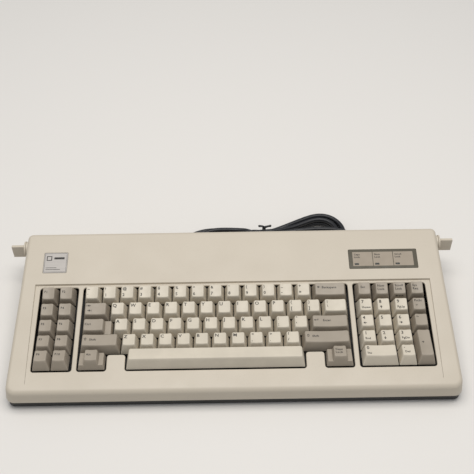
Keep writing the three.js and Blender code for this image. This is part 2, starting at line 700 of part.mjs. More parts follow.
// ---------------------------------------------------------------- feet and pads
// A foot turns on its shaft: knob and tab outside the case, leg inside. Drawn about the pivot.
function foot() {
  const tipY = -LEG_LENGTH * Math.cos(LEG_FOLD_ANGLE);
  const tipZ = -LEG_LENGTH * Math.sin(LEG_FOLD_ANGLE);
  const rearSide = LEG_FOLD_ANGLE - Math.PI / 2; // the direction square to the leg, on its lower side
  const outline = new THREE.Shape();
  outline.absarc(0, 0, LEG_ROOT_R, rearSide, rearSide + Math.PI, false);
  outline.absarc(tipY, tipZ, LEG_TIP_R, rearSide + Math.PI, rearSide + 2 * Math.PI, false);
  outline.closePath();
  const legOuter = LEG_INNER_X + LEG_THICK;
  return join(
    toSolid(prismAlongX(outline, LEG_INNER_X, legOuter, 4)),
    toSolid(cylinderAlongX(SHAFT_R, legOuter - 1, KNOB_INNER_X + 1, 0, 0, 16)),
    toSolid(cylinderAlongX(KNOB_R, KNOB_INNER_X, KNOB_OUTER_X, 0, 0, 28)),
    toSolid(box(
      KNOB_OUTER_X - 1, TAB_TIP_X, -TAB_THICK / 2, TAB_THICK / 2,
      -TAB_DROP - TAB_HEIGHT / 2, -TAB_DROP + TAB_HEIGHT / 2,
    )),
  );
}

const footSolid = foot();
for (const [name, side] of [['foot_left', -1], ['foot_right', 1]]) {
  const shape = side > 0 ? footSolid : footSolid.mirror([1, 0, 0]);
  addPiece(name, toGeometry(shape), FINISH.caseCream).position.set(0, PIVOT_Y, PIVOT_Z);
}

const PAD = { width: 34, depth: 12, x: 150, y: 84 };
for (const [end, sy] of [['front', -1], ['rear', 1]]) {
  for (const [hand, sx] of [['left', -1], ['right', 1]]) {
    const pad = new THREE.BoxGeometry(PAD.width, PAD.depth, FLOOR_Z - FIT_GAP);
    addPiece(`pad_${end}_${hand}`, pad, FINISH.rubber)
      .position.set(sx * PAD.x, sy * PAD.y, (FLOOR_Z - FIT_GAP) / 2);
  }
}

// ---------------------------------------------------------------- cable
// boot: a flange inside the rear wall, a neck through it and a taper over the cord
function cordBoot() {
  const profile = [
    [0, -6], [6.5, -6], [6.5, -3.4], [BOOT_NECK_R, -3.4], [BOOT_NECK_R, 3], [4.6, 4],
    [3.7, BOOT_LENGTH], [0, BOOT_LENGTH],
  ].map(([radius, along]) => new THREE.Vector2(radius, along));
  return new THREE.LatheGeometry(profile, 16);
}

addPiece('cord_boot', cordBoot(), FINISH.rubber).position.copy(CORD_EXIT);

// a stretch of cord through hand-chosen points
function cordTube(points, steps) {
  const path = new THREE.CatmullRomCurve3(points.map((p) => new THREE.Vector3(...p)), false, 'centripetal');
  const section = new THREE.Shape();
  section.absarc(0, 0, CORD_D / 2, 0, 2 * Math.PI);
  return new THREE.ExtrudeGeometry(section, {
    steps, extrudePath: path, bevelEnabled: false, curveSegments: CORD_SIDES,
  });
}

const cordRest = CORD_D / 2 + 0.2; // centreline height of cord lying on the desk
const LEAD_ROUTE = [
  [-95, 110.7, 21], [-95, 113, 20.7], [-94, 117, 18], [-90.5, 121.6, 13.5], [-84, 124.8, 9],
  [-75.5, 126.2, 5.8], [-66, 127, 3.8], [-57, 129.6, cordRest], [-49.8, 133.8, cordRest],
];
const TAIL_ROUTE = [
  [144, 125.8, 9.4], [151, 124.5, 6.2], [161, 121, 5], [171, 116.8, 6.2], [181, 113.6, 7.7],
  [PLUG.x - 2 * FIT_GAP, PLUG.y, PLUG.z],
];
addPiece('cable_lead', cordTube(LEAD_ROUTE, 10), FINISH.cableBlack);
addPiece('cable_tail', cordTube(TAIL_ROUTE, 8), FINISH.cableBlack);

// the folded hank: two lobes, pinched where the tie holds it
function hankOutline() {
  const half = TIE_WIDTH / 2 + 1.6;
  const [front, rear] = WAIST;
  const curve = (...points) => points.map(([x, y]) => new THREE.Vector2(x, y));
  const outline = new THREE.Shape();
  outline.moveTo(TIE_X - half, front);
  outline.lineTo(TIE_X + half, front);
  outline.splineThru(curve(
    [68, 109.5], [104, 104.4], [127, 108.8], [140, 124], [132, 149.5], [107, 163.4], [70, 149.5],
    [TIE_X + half, rear],
  ));
  outline.lineTo(TIE_X - half, rear);
  outline.splineThru(curve(
    [18, 139], [-6, 145], [-30, 144.6], [-42, 134], [-43, 116], [-32, 103.5], [-14, 101.1],
    [10, 106], [TIE_X - half, front],
  ));
  return outline;
}

addPiece(
  'cable_hank', prismAlongZ(hankOutline(), HANK_BOTTOM, HANK_BOTTOM + HANK_HEIGHT, 1),
  FINISH.cableBlack,
);

// twist tie: a band round the hank's waist with two splayed ends
function twistTie() {
  const x0 = TIE_X - TIE_WIDTH / 2;
  const x1 = TIE_X + TIE_WIDTH / 2;
  const [front, rear] = [WAIST[0] - FIT_GAP, WAIST[1] + FIT_GAP];
  const [low, high] = [HANK_BOTTOM - FIT_GAP, HANK_BOTTOM + HANK_HEIGHT + FIT_GAP];
  const t = TIE_THICK;
  const band = cut(
    toSolid(box(x0, x1, front - t, rear + t, low - t, high + t)),
    toSolid(box(x0 - 1, x1 + 1, front, rear, low, high)),
  );
  const { length, halfWidth, lean, splay, inset, rise } = TIE_WING;
  const wing = (turn) => toSolid(box(-halfWidth, halfWidth, -t / 2, t / 2, 0, length))
    .rotate([lean, turn, 0]).translate([TIE_X, rear - inset, high + rise * t]);
  return join(band, wing(-splay), wing(splay));
}

addPiece('twist_tie', toGeometry(twistTie()), FINISH.tieBlack);

// round five-pin plug: grip, collar and metal shell, lying along +X
function plug() {
  const { radius, length } = PLUG;
  const profile = [
    [0, 0], [3.6, 0], [4.6, 9], [radius, 12], [radius, length - 3], [7.2, length - 1],
    [6.6, length - 1], [6.6, length + 9], [5.8, length + 9], [5.8, length + 1], [0, length + 1],
  ].map(([r, along]) => new THREE.Vector2(r, along));
  return new THREE.LatheGeometry(profile, 18).rotateZ(-Math.PI / 2);
}

addPiece('din_plug', plug(), FINISH.cableBlack).position.set(PLUG.x, PLUG.y, PLUG.z);

export default keyboard;
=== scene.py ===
"""Looks for a vintage desk keyboard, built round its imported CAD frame."""
import math
from functools import cache

import bmesh
import bpy
import numpy as np
from mathutils import Matrix, Vector
from mathutils.geometry import delaunay_2d_cdt


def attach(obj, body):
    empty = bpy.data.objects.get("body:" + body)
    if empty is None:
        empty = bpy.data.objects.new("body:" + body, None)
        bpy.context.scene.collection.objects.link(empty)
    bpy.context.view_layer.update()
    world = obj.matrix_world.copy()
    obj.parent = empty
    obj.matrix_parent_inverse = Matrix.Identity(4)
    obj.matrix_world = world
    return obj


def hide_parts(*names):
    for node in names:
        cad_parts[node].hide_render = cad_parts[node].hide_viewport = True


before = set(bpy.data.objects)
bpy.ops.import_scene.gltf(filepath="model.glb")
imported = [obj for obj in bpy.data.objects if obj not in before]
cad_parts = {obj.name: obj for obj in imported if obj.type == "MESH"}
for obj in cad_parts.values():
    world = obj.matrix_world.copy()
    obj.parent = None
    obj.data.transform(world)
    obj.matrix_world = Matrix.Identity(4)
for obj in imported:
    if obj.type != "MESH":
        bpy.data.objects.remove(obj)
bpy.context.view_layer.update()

scene = bpy.context.scene
MM = 0.001  # sizes below are in millimetres, objects in metres
CDT_INSIDE = 1  # triangles within the outermost constraint
CDT_SLACK = 1e-5
WELD = 0.001  # vertices closer than this are one
SHARP = 30  # faces that meet at more than this many degrees keep a hard edge
QUARTERS = ((1, 1), (-1, 1), (-1, -1), (1, -1))  # the corners' signs, counter-clockwise

# ---- driving dimensions
# case
CASE_HALF_WIDTH = 237.1  # at desk level; the walls lean in as they rise
CASE_HALF_DEPTH = 99.2
SIDE_DRAFT = 0.129
END_DRAFT = 0.1
CASE_CORNER_R = 10
REAR_CORNER_R = 6
TOP_EDGE_R = 4
LIP_R = 6  # the front edge is rounder than the rest
CEILING_EDGE_R = 1.6
WALL = 2.5
SEAM_Z = 10.5  # lower edge of the top cover
CREASE_Y = 29.4  # where the rear deck starts
CREASE_Z = 45.93
PALM_SLOPE = 0.1544
DECK_SLOPE = 0.184
PANEL_DROP = 2.3
PANEL_STEP_RUN = 1.1
PANEL_FRONT_Y = -86.5
PANEL_REAR_HALF_WIDTH = 216
PANEL_FRONT_HALF_WIDTH = 214.6
CEILING_RAMP = 8  # run of the slope between the two ceilings
CORNER_SAMPLES = 9  # points round each corner of the case

# key field
UNIT = 19.05
KEY_ARC_R = 213
HOME_TILT = math.radians(5)
ARC_Y = -23.1 - KEY_ARC_R * math.sin(HOME_TILT)
ARC_Z = 41.35 + KEY_ARC_R * math.cos(HOME_TILT)
MAIN_UNITS = 15
MAIN_LEFT = -18.8 - MAIN_UNITS * UNIT / 2
FUNCTION_LEFT = MAIN_LEFT - 2.473 * UNIT
NUMPAD_LEFT = MAIN_LEFT + 15.45 * UNIT
KEY_CLEAR = 1.1  # from a block of keys to the side of its opening
FUNCTION_CLEAR_RIGHT = 2.9
NUMPAD_CLEAR_LEFT = 2.2
OPENING_FRONT_Y = -73.3
OPENING_REAR_Y = 26.1
TONGUE_REAR_Y = -54.8  # the panel's tongues beside the space bar
OPENING_CORNER_R = 3
OPENING_EDGE_R = 0.9
OPENING_RIM = 1.5  # thickness of the rim round each opening
OPENING_OVERHANG = 1.4  # how far the rim stands over the wall below it

# keycaps
CAP_GAP = 0.85
CAP_DEPTH = 18.2
CAP_TAPER = 5.93
CAP_TOP_DEPTH = 13.8
CAP_TOP_SHIFT = 1.06
CAP_HEIGHT = 13.3
CAP_WALL = 1.3
CAP_TOP_THICK = 2
CAP_EDGE_R = 0.7
SKIRT_EDGE = 0.2
STEM_HALF = 2.8
STEM_END = -11.5
STEP_Z = -7
SHELF_THICK = 1.5
LETTER_SIZE = 5.3
WORD_SIZE = 3.5
FRONT_WORD_Z = -5.5
INK_PROUD = 0.035
INK_SUNK = 0.1

# deck fittings, in the plane of the deck
DECK_TILT = math.atan(DECK_SLOPE)
INDICATOR = {"x": 166.9, "y": 54.25, "width": 75.6, "depth": 23.9}
BADGE = {"x": -196.1, "y": 55.6, "width": 26, "depth": 25.2}
LAMP = {"width": 4.8, "depth": 2.4, "dx": -6.9, "dy": -6.45, "pitch": 22.6}

# feet
PIVOT_Y, PIVOT_Z = 83.3, 43  # the shafts' axis
SHAFT_HOLE_R = 5.3
BOSS_R = 8.1
BOSS_INNER_X = 229.8
BOSS_OUTER_X = 232.9

# cable
CORD_D = 5.6
CORD_HOLE_R = 5.5
CORD_EXIT = (-95, 97.2, 21)
PLUG_AT = (193, 113, 8.2)


def palm_z(y):
    return CREASE_Z + PALM_SLOPE * (y - CREASE_Y)


def deck_z(y):
    return CREASE_Z + DECK_SLOPE * (y - CREASE_Y)


def top_z(y):
    return max(palm_z(y), deck_z(y))


PANEL_SLOPE = (CREASE_Z - PANEL_DROP - palm_z(PANEL_FRONT_Y)) / (CREASE_Y - PANEL_FRONT_Y)


def panel_z(y):
    return palm_z(PANEL_FRONT_Y) + PANEL_SLOPE * (y - PANEL_FRONT_Y)


# ---- camera
camera_data = bpy.data.cameras.new("view")
camera_data.lens = 66.38
camera_data.sensor_width = 36
camera = bpy.data.objects.new("view", camera_data)
camera.location = Vector((3.0, -566.7, 794.5)) * MM
camera.rotation_euler = [math.radians(a) for a in (41.416, 0.496, -0.785)]
scene.collection.objects.link(camera)
scene.camera = camera


# ---- materials
class Nodes:
    """A small helper that lays out one material's nodes."""

    def __init__(self, name):
        self.material = bpy.data.materials.new(name)
        self.material.use_nodes = True
        self.tree = self.material.node_tree
        self.shader = self.tree.nodes["Principled BSDF"]
        self.place = self.add("ShaderNodeTexCoord").outputs["Object"]

    def feed(self, node, inputs):
        """Gives inputs their values, or links them to other nodes' outputs."""
        for key, value in inputs.items():
            if isinstance(value, bpy.types.NodeSocket):
                self.tree.links.new(value, node.inputs[key])
            else:
                node.inputs[key].default_value = value

    def add(self, kind, **inputs):
        node = self.tree.nodes.new(kind)
        self.feed(node, inputs)
        return node

    def noise(self, scale, detail, stretch=None):
        place = self.place
        if stretch:
            place = self.add("ShaderNodeMapping", Scale=stretch, Vector=place).outputs["Vector"]
        return self.add("ShaderNodeTexNoise", Scale=scale, Detail=detail,
                        Vector=place).outputs["Fac"]

    def spread(self, value, *limits):
        """Maps the value from the first two limits onto the last two."""
        names = ("From Min", "From Max", "To Min", "To Max")
        return self.add("ShaderNodeMapRange", Value=value,
                        **dict(zip(names, limits))).outputs["Result"]

    def blend(self, share, first, second):
        """Mixes a colour, plain or another node's, with a plain one."""
        node = self.add("ShaderNodeMix", Factor=share)
        node.data_type = "RGBA"
        a, b = (socket for socket in node.inputs if socket.type == "RGBA")
        if isinstance(first, tuple):
            a.default_value = (*first, 1)
        else:
            self.tree.links.new(first, a)
        b.default_value = (*second, 1)
        return next(socket for socket in node.outputs if socket.type == "RGBA")


def tint(colour, factor):
    return tuple(c * factor for c in colour)


def moulded(name, colour, rough=0.5, patch=22, grain=1500, grain_depth=0.00006, wear=0.5,
            metal=0.0, specular=0.5, stretch=None, uneven=1.0):
    """Moulded or painted stuff: cloudy colour, uneven gloss, fine grain and paler worn edges."""
    n = Nodes(name)
    cloud = n.spread(n.noise(patch, 4.0), 0.35, 0.65, 0.0, 1.0)
    base = n.blend(cloud, tint(colour, 1 - 0.045 * uneven), tint(colour, 1 + 0.03 * uneven))
    speck = n.spread(n.noise(grain * 0.6, 1.0), 0.62, 0.72, 0.0, 0.25)
    base = n.blend(speck, base, tint(colour, 0.82))
    edge = n.spread(n.add("ShaderNodeNewGeometry").outputs["Pointiness"], 0.53, 0.62, 0.0, wear)
    gloss = n.noise(patch * 3, 3.0, stretch)
    bump = n.add("ShaderNodeBump", Strength=0.5, Distance=grain_depth,
                 Height=n.noise(grain, 3.0, stretch))
    n.feed(n.shader, {
        "Base Color": n.blend(edge, base, tint(colour, 1.12)),
        "Roughness": n.spread(gloss, 0.3, 0.7, rough - 0.06, rough + 0.08),
        "Metallic": metal, "Specular IOR Level": specular, "Normal": bump.outputs["Normal"]})
    return n.material


CASE = moulded("case_cream", (0.525, 0.47, 0.385), rough=0.43, patch=9, grain=1300,
               grain_depth=0.00005, uneven=0.35)
CAP_GRAIN = {"patch": 60, "grain": 1800, "grain_depth": 0.00003}
CAP_WHITE = moulded("cap_white", (0.59, 0.535, 0.44), rough=0.47, **CAP_GRAIN)
CAP_GREY = moulded("cap_grey", (0.33, 0.285, 0.228), **CAP_GRAIN)
INK = moulded("legend_ink", (0.02, 0.018, 0.016), rough=0.6, grain=4000, wear=0.0)
# the bottom pan: black paint, darkened further as painted shade for the shadow under the case's
# front edge
PAN = moulded("pan_black_and_painted_shade", (0.018, 0.018, 0.018), grain=900, wear=0.3)
BARREL = moulded("barrel_black", (0.012, 0.012, 0.012), rough=0.55)
STEEL = moulded("plated_steel", (0.52, 0.52, 0.50), rough=0.34, metal=1.0, grain=700,
                grain_depth=0.00002, stretch=(0.1, 2.0, 2.0))
FOAM = moulded("foam_grey", (0.05, 0.05, 0.055), rough=0.95, grain=500, grain_depth=0.0004)
BOARD = moulded("circuit_green", (0.03, 0.12, 0.05), rough=0.4, patch=90, grain=700)
BEZEL = moulded("bezel_olive", (0.085, 0.075, 0.052), rough=0.6, patch=50, grain=2200)
CELL = moulded("cell_beige", (0.32, 0.27, 0.21), rough=0.6, patch=50, grain=2200)
LENS = moulded("lamp_lens", (0.012, 0.014, 0.01), rough=0.18, patch=120, grain=3000, wear=0.0)
SILVER = moulded("badge_silver", (0.42, 0.395, 0.37), metal=0.12, patch=70, grain=1600,
                 grain_depth=0.00002, stretch=(0.15, 3.0, 3.0))
RUBBER = moulded("rubber_black", (0.02, 0.02, 0.021), rough=0.75, grain=1200, wear=0.2)
JACKET = moulded("cable_jacket", (0.011, 0.012, 0.015), rough=0.4, specular=0.4, patch=40,
                 grain_depth=0.00003, wear=0.0)
TIE = moulded("tie_black", (0.012, 0.012, 0.012))


# ---- mesh helpers
def shade(mesh, sharp_deg=SHARP):
    mesh.polygons.foreach_set("use_smooth", [True] * len(mesh.polygons))
    mesh.set_sharp_from_angle(angle=math.radians(sharp_deg))


def mesh_of(bm, name, sharp_deg=SHARP):
    """Turns a bmesh drawn in millimetres into a mesh in metres."""
    bmesh.ops.scale(bm, vec=(MM, MM, MM), verts=bm.verts)
    mesh = bpy.data.meshes.new(name)
    bm.to_mesh(mesh)
    bm.free()
    shade(mesh, sharp_deg)
    return mesh


def new_object(name, mesh, materials, body):
    piece = bpy.data.objects.new(name, mesh)
    scene.collection.objects.link(piece)
    for material in materials:
        mesh.materials.append(material)
    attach(piece, body)
    return piece


def case_piece(bm, name, material, slot, *replaced, sharp_deg=SHARP):
    """A bmesh's faces turned outward and made a piece of the case, for the CAD nodes named."""
    bmesh.ops.recalc_face_normals(bm, faces=bm.faces)
    piece = new_object(name, mesh_of(bm, name, sharp_deg), [material], "case")
    if replaced:
        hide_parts(*replaced)
    return piece


def ring(bm, points):
    return [bm.verts.new(p) for p in points]


def skin(bm, rings, closed=True):
    """Joins each ring to the next; a vertex met twice in a row makes a triangle."""
    for lower, upper in zip(rings, rings[1:]):
        count = len(lower)
        for i in range(count if closed else count - 1):
            j = (i + 1) % count
            corners = [lower[i], lower[j], upper[j], upper[i]]
            bm.faces.new([v for k, v in enumerate(corners) if v is not corners[k - 1]])


def cap_ends(bm, rings):
    bm.faces.new(rings[0][::-1])
    bm.faces.new(rings[-1])


def within(point, loop):
    """Whether a level point lies inside a loop of vertices, by counting crossings."""
    odd = False
    for i, here in enumerate(loop):
        a, b = loop[i - 1].co, here.co
        if (a.y > point.y) != (b.y > point.y):
            if point.x < a.x + (b.x - a.x) * (point.y - a.y) / (b.y - a.y):
                odd = not odd
    return odd


def fill(bm, *loops):
    """Fills a level or gently sloping region bounded by the first loop, less the others."""
    verts, edges = [], []
    for loop in loops:
        start = len(verts)
        verts += loop
        edges += [(start + i, start + (i + 1) % len(loop)) for i in range(len(loop))]
    flat = [Vector((v.co.x, v.co.y)) for v in verts]
    made = delaunay_2d_cdt(flat, edges, [], CDT_INSIDE, CDT_SLACK)
    points, faces, origin = made[0], made[2], made[3]
    for face in faces:
        middle = sum((points[i] for i in face), Vector((0, 0))) / len(face)
        if within(middle, loops[0]) and not any(within(middle, hole) for hole in loops[1:]):
            bm.faces.new([verts[origin[i][0]] for i in face])


def rounded_loop(half_x, half_y, radius, cx=0.0, cy=0.0, corner=4, along_x=6, along_y=3):
    """A rounded rectangle's points, counter-clockwise, with the straights divided evenly."""
    points = []
    for k, (sx, sy) in enumerate(QUARTERS):
        for i in range(corner + 1):
            a = math.pi / 2 * (k + i / corner)
            points.append((cx + sx * (half_x - radius) + radius * math.cos(a),
                           cy + sy * (half_y - radius) + radius * math.sin(a)))
        half, steps = (half_x, along_x) if k % 2 == 0 else (half_y, along_y)
        x, y = points[-1]
        c, s = math.cos(math.pi / 2 * (k + 2)), math.sin(math.pi / 2 * (k + 2))
        for i in range(1, steps):
            across = 2 * (half - radius) * i / steps
            points.append((x + across * c, y + across * s))
    return points


def rounded_polygon(corners, radius, offset, steps=6):
    """A right-angled outline, counter-clockwise, moved outward by `offset`, with round corners."""
    points = []
    count = len(corners)
    for i in range(count):
        before, here, after = (Vector(corners[j % count]) for j in (i - 1, i, i + 1))
        inward, outward = (here - before).normalized(), (after - here).normalized()
        convex = inward.cross(outward) > 0
        tip = here + offset * Vector((inward.y + outward.y, -inward.x - outward.x))
        r = radius + offset if convex else radius - offset
        centre = tip + r * (outward - inward)
        for k in range(steps + 1):
            a = math.pi / 2 * k / steps
            points.append(centre + r * (inward * math.sin(a) - outward * math.cos(a)))
    return points


# ---- cable
CORD_REST = CORD_D / 2 + 0.2  # height of a strand that lies on the desk
LEAD_ROUTE = [
    (-95, 100, 21), (-95, 106, 21), (-95, 111.5, 20.8), (-94, 117, 18), (-90.5, 121.6, 13.5),
    (-84, 124.8, 9), (-75.5, 126.2, 5.8), (-66, 127, 3.8), (-57, 129.6, CORD_REST),
    (-49.5, 134.8, CORD_REST), (-41, 140.2, CORD_REST),
]
TAIL_ROUTE = [
    (142, 126, 10.5), (151, 124.5, 5.6), (161, 121, 5), (171, 116.8, 6.2), (181, 113.6, 7.7),
    (190, 113, 8.2), (197, 113, 8.2),
]
RIGHT_LOBE = [  # rear side first, round to the front
    (68, 143.8), (86, 153), (105, 160.6), (120, 157.6), (131, 146.4), (135.8, 131.8),
    (132.5, 118), (121, 109.2), (104, 106.6), (86, 108), (68, 112.4),
]
LEFT_LOBE = [  # front side first, round to the rear
    (14, 111.5), (-4, 105.2), (-20, 102.6), (-33, 105.2), (-41, 113), (-41.5, 123.5), (-34, 132.8),
    (-20, 135.8), (-4, 135.6), (14, 133.4),
]
RIGHT_CENTRE = Vector((101, 131))
LEFT_CENTRE = Vector((-16, 118.6))
WAIST_X = (30, 38, 46)


def lobe(points, centre, share, height, climb):
    """One turn through a lobe: its outline drawn in to `share` of its size, at a height."""
    made = []
    for i, (x, y) in enumerate(points):
        flat = centre + share * (Vector((x, y)) - centre)
        made.append((flat.x, flat.y, height + climb * i / (len(points) - 1)))
    return made


def hank_route():
    """Nine passes through the tie, rightward on the rear side and leftward on the front side."""
    low, mid, high = CORD_REST, CORD_REST + 5, CORD_REST + 10
    passes = [(131, low), (119.5, low), (125.2, low), (122.3, mid), (133.2, mid), (127.8, mid),
              (130.6, high), (119.6, high), (125.1, high)]
    layer = CORD_D + 0.1
    right = [(1.0, low, 0.0), (0.76, low, 1.0), (1.0, low + layer, 0.5), (0.78, low + layer, 3.0)]
    left = [(0.66, low, 0.0), (1.0, low, 2.5), (0.7, low + layer, 0.5),
            (1.0, low + 1.55 * layer, 0.0)]
    turns = [turn for both in zip(right, left) for turn in both]
    route = [(-30, 143, low), (-14, 142.8, low), (8, 140, low)]
    for i, (y, z) in enumerate(passes):
        rightward = i % 2 == 0
        route += [(x, y, z) for x in (WAIST_X if rightward else WAIST_X[::-1])]
        if i < len(turns):
            end = (RIGHT_LOBE, RIGHT_CENTRE) if rightward else (LEFT_LOBE, LEFT_CENTRE)
            route += lobe(*end, *turns[i])
    return route + [(66, 128, high + 1.5), (92, 131, 15.3), (118, 130.5, 16.2), (131, 128.5, 15)]


def smooth_path(points, spacing):
    """Evenly spaced points on a centripetal spline through the given ones."""
    p = np.array(points, float)
    p = np.vstack([2 * p[0] - p[1], p, 2 * p[-1] - p[-2]])
    dense = []
    for a, b, c, d in zip(p[:-3], p[1:-2], p[2:-1], p[3:]):
        t = np.cumsum([0] + [max(np.linalg.norm(q - r), 1e-6) ** 0.5
                             for q, r in ((b, a), (c, b), (d, c))])
        for u in np.linspace(t[1], t[2], 12, endpoint=False):
            level = [a, b, c, d]
            for first, reach in ((0, 1), (0, 2), (1, 1)):
                level = [p + (q - p) * (u - t[i]) / (t[i + reach] - t[i])
                         for i, (p, q) in enumerate(zip(level, level[1:]), first)]
            dense.append(level[0])
    dense.append(p[-2])
    dense = np.array(dense)
    along = np.concatenate([[0], np.cumsum(np.linalg.norm(np.diff(dense, axis=0), axis=1))])
    count = int(round(along[-1] / spacing)) + 1
    stations = np.linspace(0, along[-1], count)
    return np.stack([np.interp(stations, along, dense[:, k]) for k in range(3)], axis=1)


def settle(path, rounds=160, push=0.3, relax=0.22, pull=0.03):
    """Lets the cable lie: strands push each other clear, nothing sinks into the desk."""
    home = path.copy()
    count = len(path)
    span = np.linalg.norm(np.diff(path, axis=0), axis=1).mean()
    far = np.abs(np.subtract.outer(np.arange(count), np.arange(count))) * span > 3 * CORD_D
    itself = np.eye(count) * 1e3  # keeps a point from pushing on itself
    for _ in range(rounds):
        gap = path[:, None, :] - path[None, :, :]
        distance = np.linalg.norm(gap, axis=2) + itself
        depth = np.where(far, np.clip(CORD_D + 0.15 - distance, 0, None), 0)
        path = path + push * (gap * (depth / distance)[:, :, None]).sum(axis=1)
        path[1:-1] += relax * ((path[:-2] + path[2:]) / 2 - path[1:-1])
        path += pull * (home - path)
        path[:, 2] = np.maximum(path[:, 2], CORD_REST)
        path[:4], path[-4:] = home[:4], home[-4:]
    return path


cord_points = settle(smooth_path(LEAD_ROUTE + hank_route() + TAIL_ROUTE, 4.0))
cord_curve = bpy.data.curves.new("cable", "CURVE")
cord_curve.dimensions = "3D"
cord_curve.bevel_depth = CORD_D / 2 * MM
cord_curve.bevel_resolution = 5
cord_curve.use_fill_caps = True
cord_curve.resolution_u = 3
stations = cord_curve.splines.new("BEZIER").bezier_points
stations.add(len(cord_points[::2]) - 1)
for point, place in zip(stations, cord_points[::2]):
    point.co = Vector(place) * MM
    point.handle_left_type = point.handle_right_type = "AUTO"
cord = bpy.data.objects.new("cable", cord_curve)
scene.collection.objects.link(cord)
cord_curve.materials.append(JACKET)
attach(cord, "case")
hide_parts("cable_lead", "cable_hank", "cable_tail")


def lathe(bm, profile, origin, axis, sides):
    """Turns (radius, along) pairs about an axis: "x" or "y"."""
    rings = []
    for radius, along in profile:
        made = []
        for i in range(sides if radius else 1):
            a = 2 * math.pi * i / sides
            u, v = radius * math.cos(a), radius * math.sin(a)
            place = (along, u, v) if axis == "x" else (u, along, v)
            made.append(bm.verts.new(Vector(origin) + Vector(place)))
        rings.append(made if radius else made * sides)
    skin(bm, rings)


def turned_piece(name, profile, origin, axis, sides, material, slot, *replaced):
    bm = bmesh.new()
    lathe(bm, profile, origin, axis, sides)
    return case_piece(bm, name, material, slot, *replaced)


def cord_boot():
    """The sleeve in the rear wall, with four thinning ribs."""
    profile = [(0, -6), (6.2, -6), (6.5, -5.7), (6.5, -3.7), (6.2, -3.4), (5, -3.4), (5, 3.2)]
    radius = 4.95
    for step in range(4):
        start = 3.6 + step * 2.3
        profile += [(radius, start), (radius, start + 1.1), (radius - 0.75, start + 1.4),
                    (radius - 0.8, start + 2.0)]
        radius -= 0.32
    profile += [(3.5, 12.8), (3.2, 13), (0, 13)]
    return turned_piece("boot", profile, CORD_EXIT, "y", 28, RUBBER, "rubber", "cord_boot")


def din_plug():
    """A ribbed grip, a metal shell and five pins on an arc."""
    profile = [(0, 0), (3.3, 0), (3.7, 0.5), (4.5, 8.6), (5.4, 9.6), (7.2, 11.4), (7.7, 12.4)]
    for step in range(6):
        start = 13 + step * 2.4
        profile += [(7.75, start), (7.75, start + 1.4), (7.1, start + 1.7), (7.1, start + 2.2)]
    profile += [(7.75, 27.6), (7.4, 28.8), (6.7, 29), (0, 29)]
    grip = turned_piece("plug_grip", profile, PLUG_AT, "x", 36, RUBBER, "cable_jacket", "din_plug")
    profile = [(0, 29.1), (6.45, 29.1), (6.6, 29.4), (6.6, 38.6), (6.35, 38.9), (5.95, 38.9),
               (5.8, 38.6), (5.8, 32.6), (0, 32.6)]
    shell = turned_piece("plug_shell", profile, PLUG_AT, "x", 36, STEEL, "steel")
    profile = [(0, 32.7), (0.7, 32.7), (0.7, 37.4), (0.45, 37.9), (0, 38)]
    x, y, z = PLUG_AT
    pin_arc_r = 3.9
    bm = bmesh.new()
    for i in range(5):
        a = math.radians(180 + 45 * i)
        lathe(bm, profile, (x, y + pin_arc_r * math.cos(a), z + pin_arc_r * math.sin(a)), "x", 12)
    return [grip, shell, case_piece(bm, "plug_pins", STEEL, "steel")]


def strip(bm, stations, width_axis, width, thick):
    """The rings of a flat strip along stations of (point, normal)."""
    side = Vector(width_axis) * width / 2
    rings = []
    for place, normal in stations:
        centre, up = Vector(place), Vector(normal).normalized() * thick / 2
        rings.append(ring(bm, [centre - side - up, centre + side - up,
                               centre + side + up, centre - side + up]))
    return rings


def twist_tie():
    """A band round the waist and two splayed ends twisted together on top."""
    bm = bmesh.new()
    band_y, band_z = 126.2, 8.55
    flat = rounded_loop(10.9, 8.1, 4.2, band_y, band_z, corner=6, along_x=3, along_y=3)
    band = [((WAIST_X[1], y, z), (0, y - band_y, (z - band_z) * 1.3)) for y, z in flat]
    rings = strip(bm, band, (1, 0, 0), 3.4, 0.8)
    skin(bm, rings + rings[:1])
    for side in (-1, 1):
        path = []
        for i in range(9):
            t = i / 8
            a = t * 2.2 * math.pi
            spread = max(0.0, t - 0.25)
            x = 39.2 + side * (0.6 * math.cos(a) + 9.5 * spread + 1.5 * spread * math.sin(6 * t))
            y = 132 + 0.6 * side * math.sin(a) * (1 - t) + 2.2 * t
            z = 17.0 + 2.2 * t + 1.0 * math.sin(math.pi * t)
            path.append(((x, y, z), (-side * 0.7, 0.35 * math.sin(a), 1.0)))
        rings = strip(bm, path, (0.25 * side, 0.97, 0.1), 2.4, 1.5)
        skin(bm, rings)
        cap_ends(bm, rings)
    tie = case_piece(bm, "tie", TIE, "tie_plastic", "twist_tie", sharp_deg=38)
    bevel = tie.modifiers.new("soft_edges", "BEVEL")
    bevel.width, bevel.segments = 0.18 * MM, 2
    return tie


on_cord = [cord_boot(), twist_tie(), *din_plug()]


# ---- top cover
def outline(inset):
    """Points and outward directions round the case at desk level, counter-clockwise."""
    half_x, half_y = CASE_HALF_WIDTH - inset, CASE_HALF_DEPTH - inset
    samples = []
    for k, (sx, sy) in enumerate(QUARTERS):
        radius = (REAR_CORNER_R if sy > 0 else CASE_CORNER_R) - inset
        centre = Vector((sx * (half_x - radius), sy * (half_y - radius)))
        for i in range(CORNER_SAMPLES):
            a = math.pi / 2 * (k + i / (CORNER_SAMPLES - 1))
            out = Vector((math.cos(a), math.sin(a)))
            samples.append((centre + radius * out, out))
        if k % 2 == 1:  # down the left side, then up the right side
            marks = (CREASE_Y, CREASE_Y + CEILING_RAMP)
            for y in marks[::-1] if k == 1 else marks:
                plan = y / (1 - END_DRAFT * deck_z(y) / CASE_HALF_DEPTH)
                samples.append((Vector((sx * half_x, plan)), Vector((sx, 0))))
    return samples


def wall_point(plan, inset, z):
    return Vector((plan.x * (1 - SIDE_DRAFT * z / (CASE_HALF_WIDTH - inset)),
                   plan.y * (1 - END_DRAFT * z / (CASE_HALF_DEPTH - inset)), z))


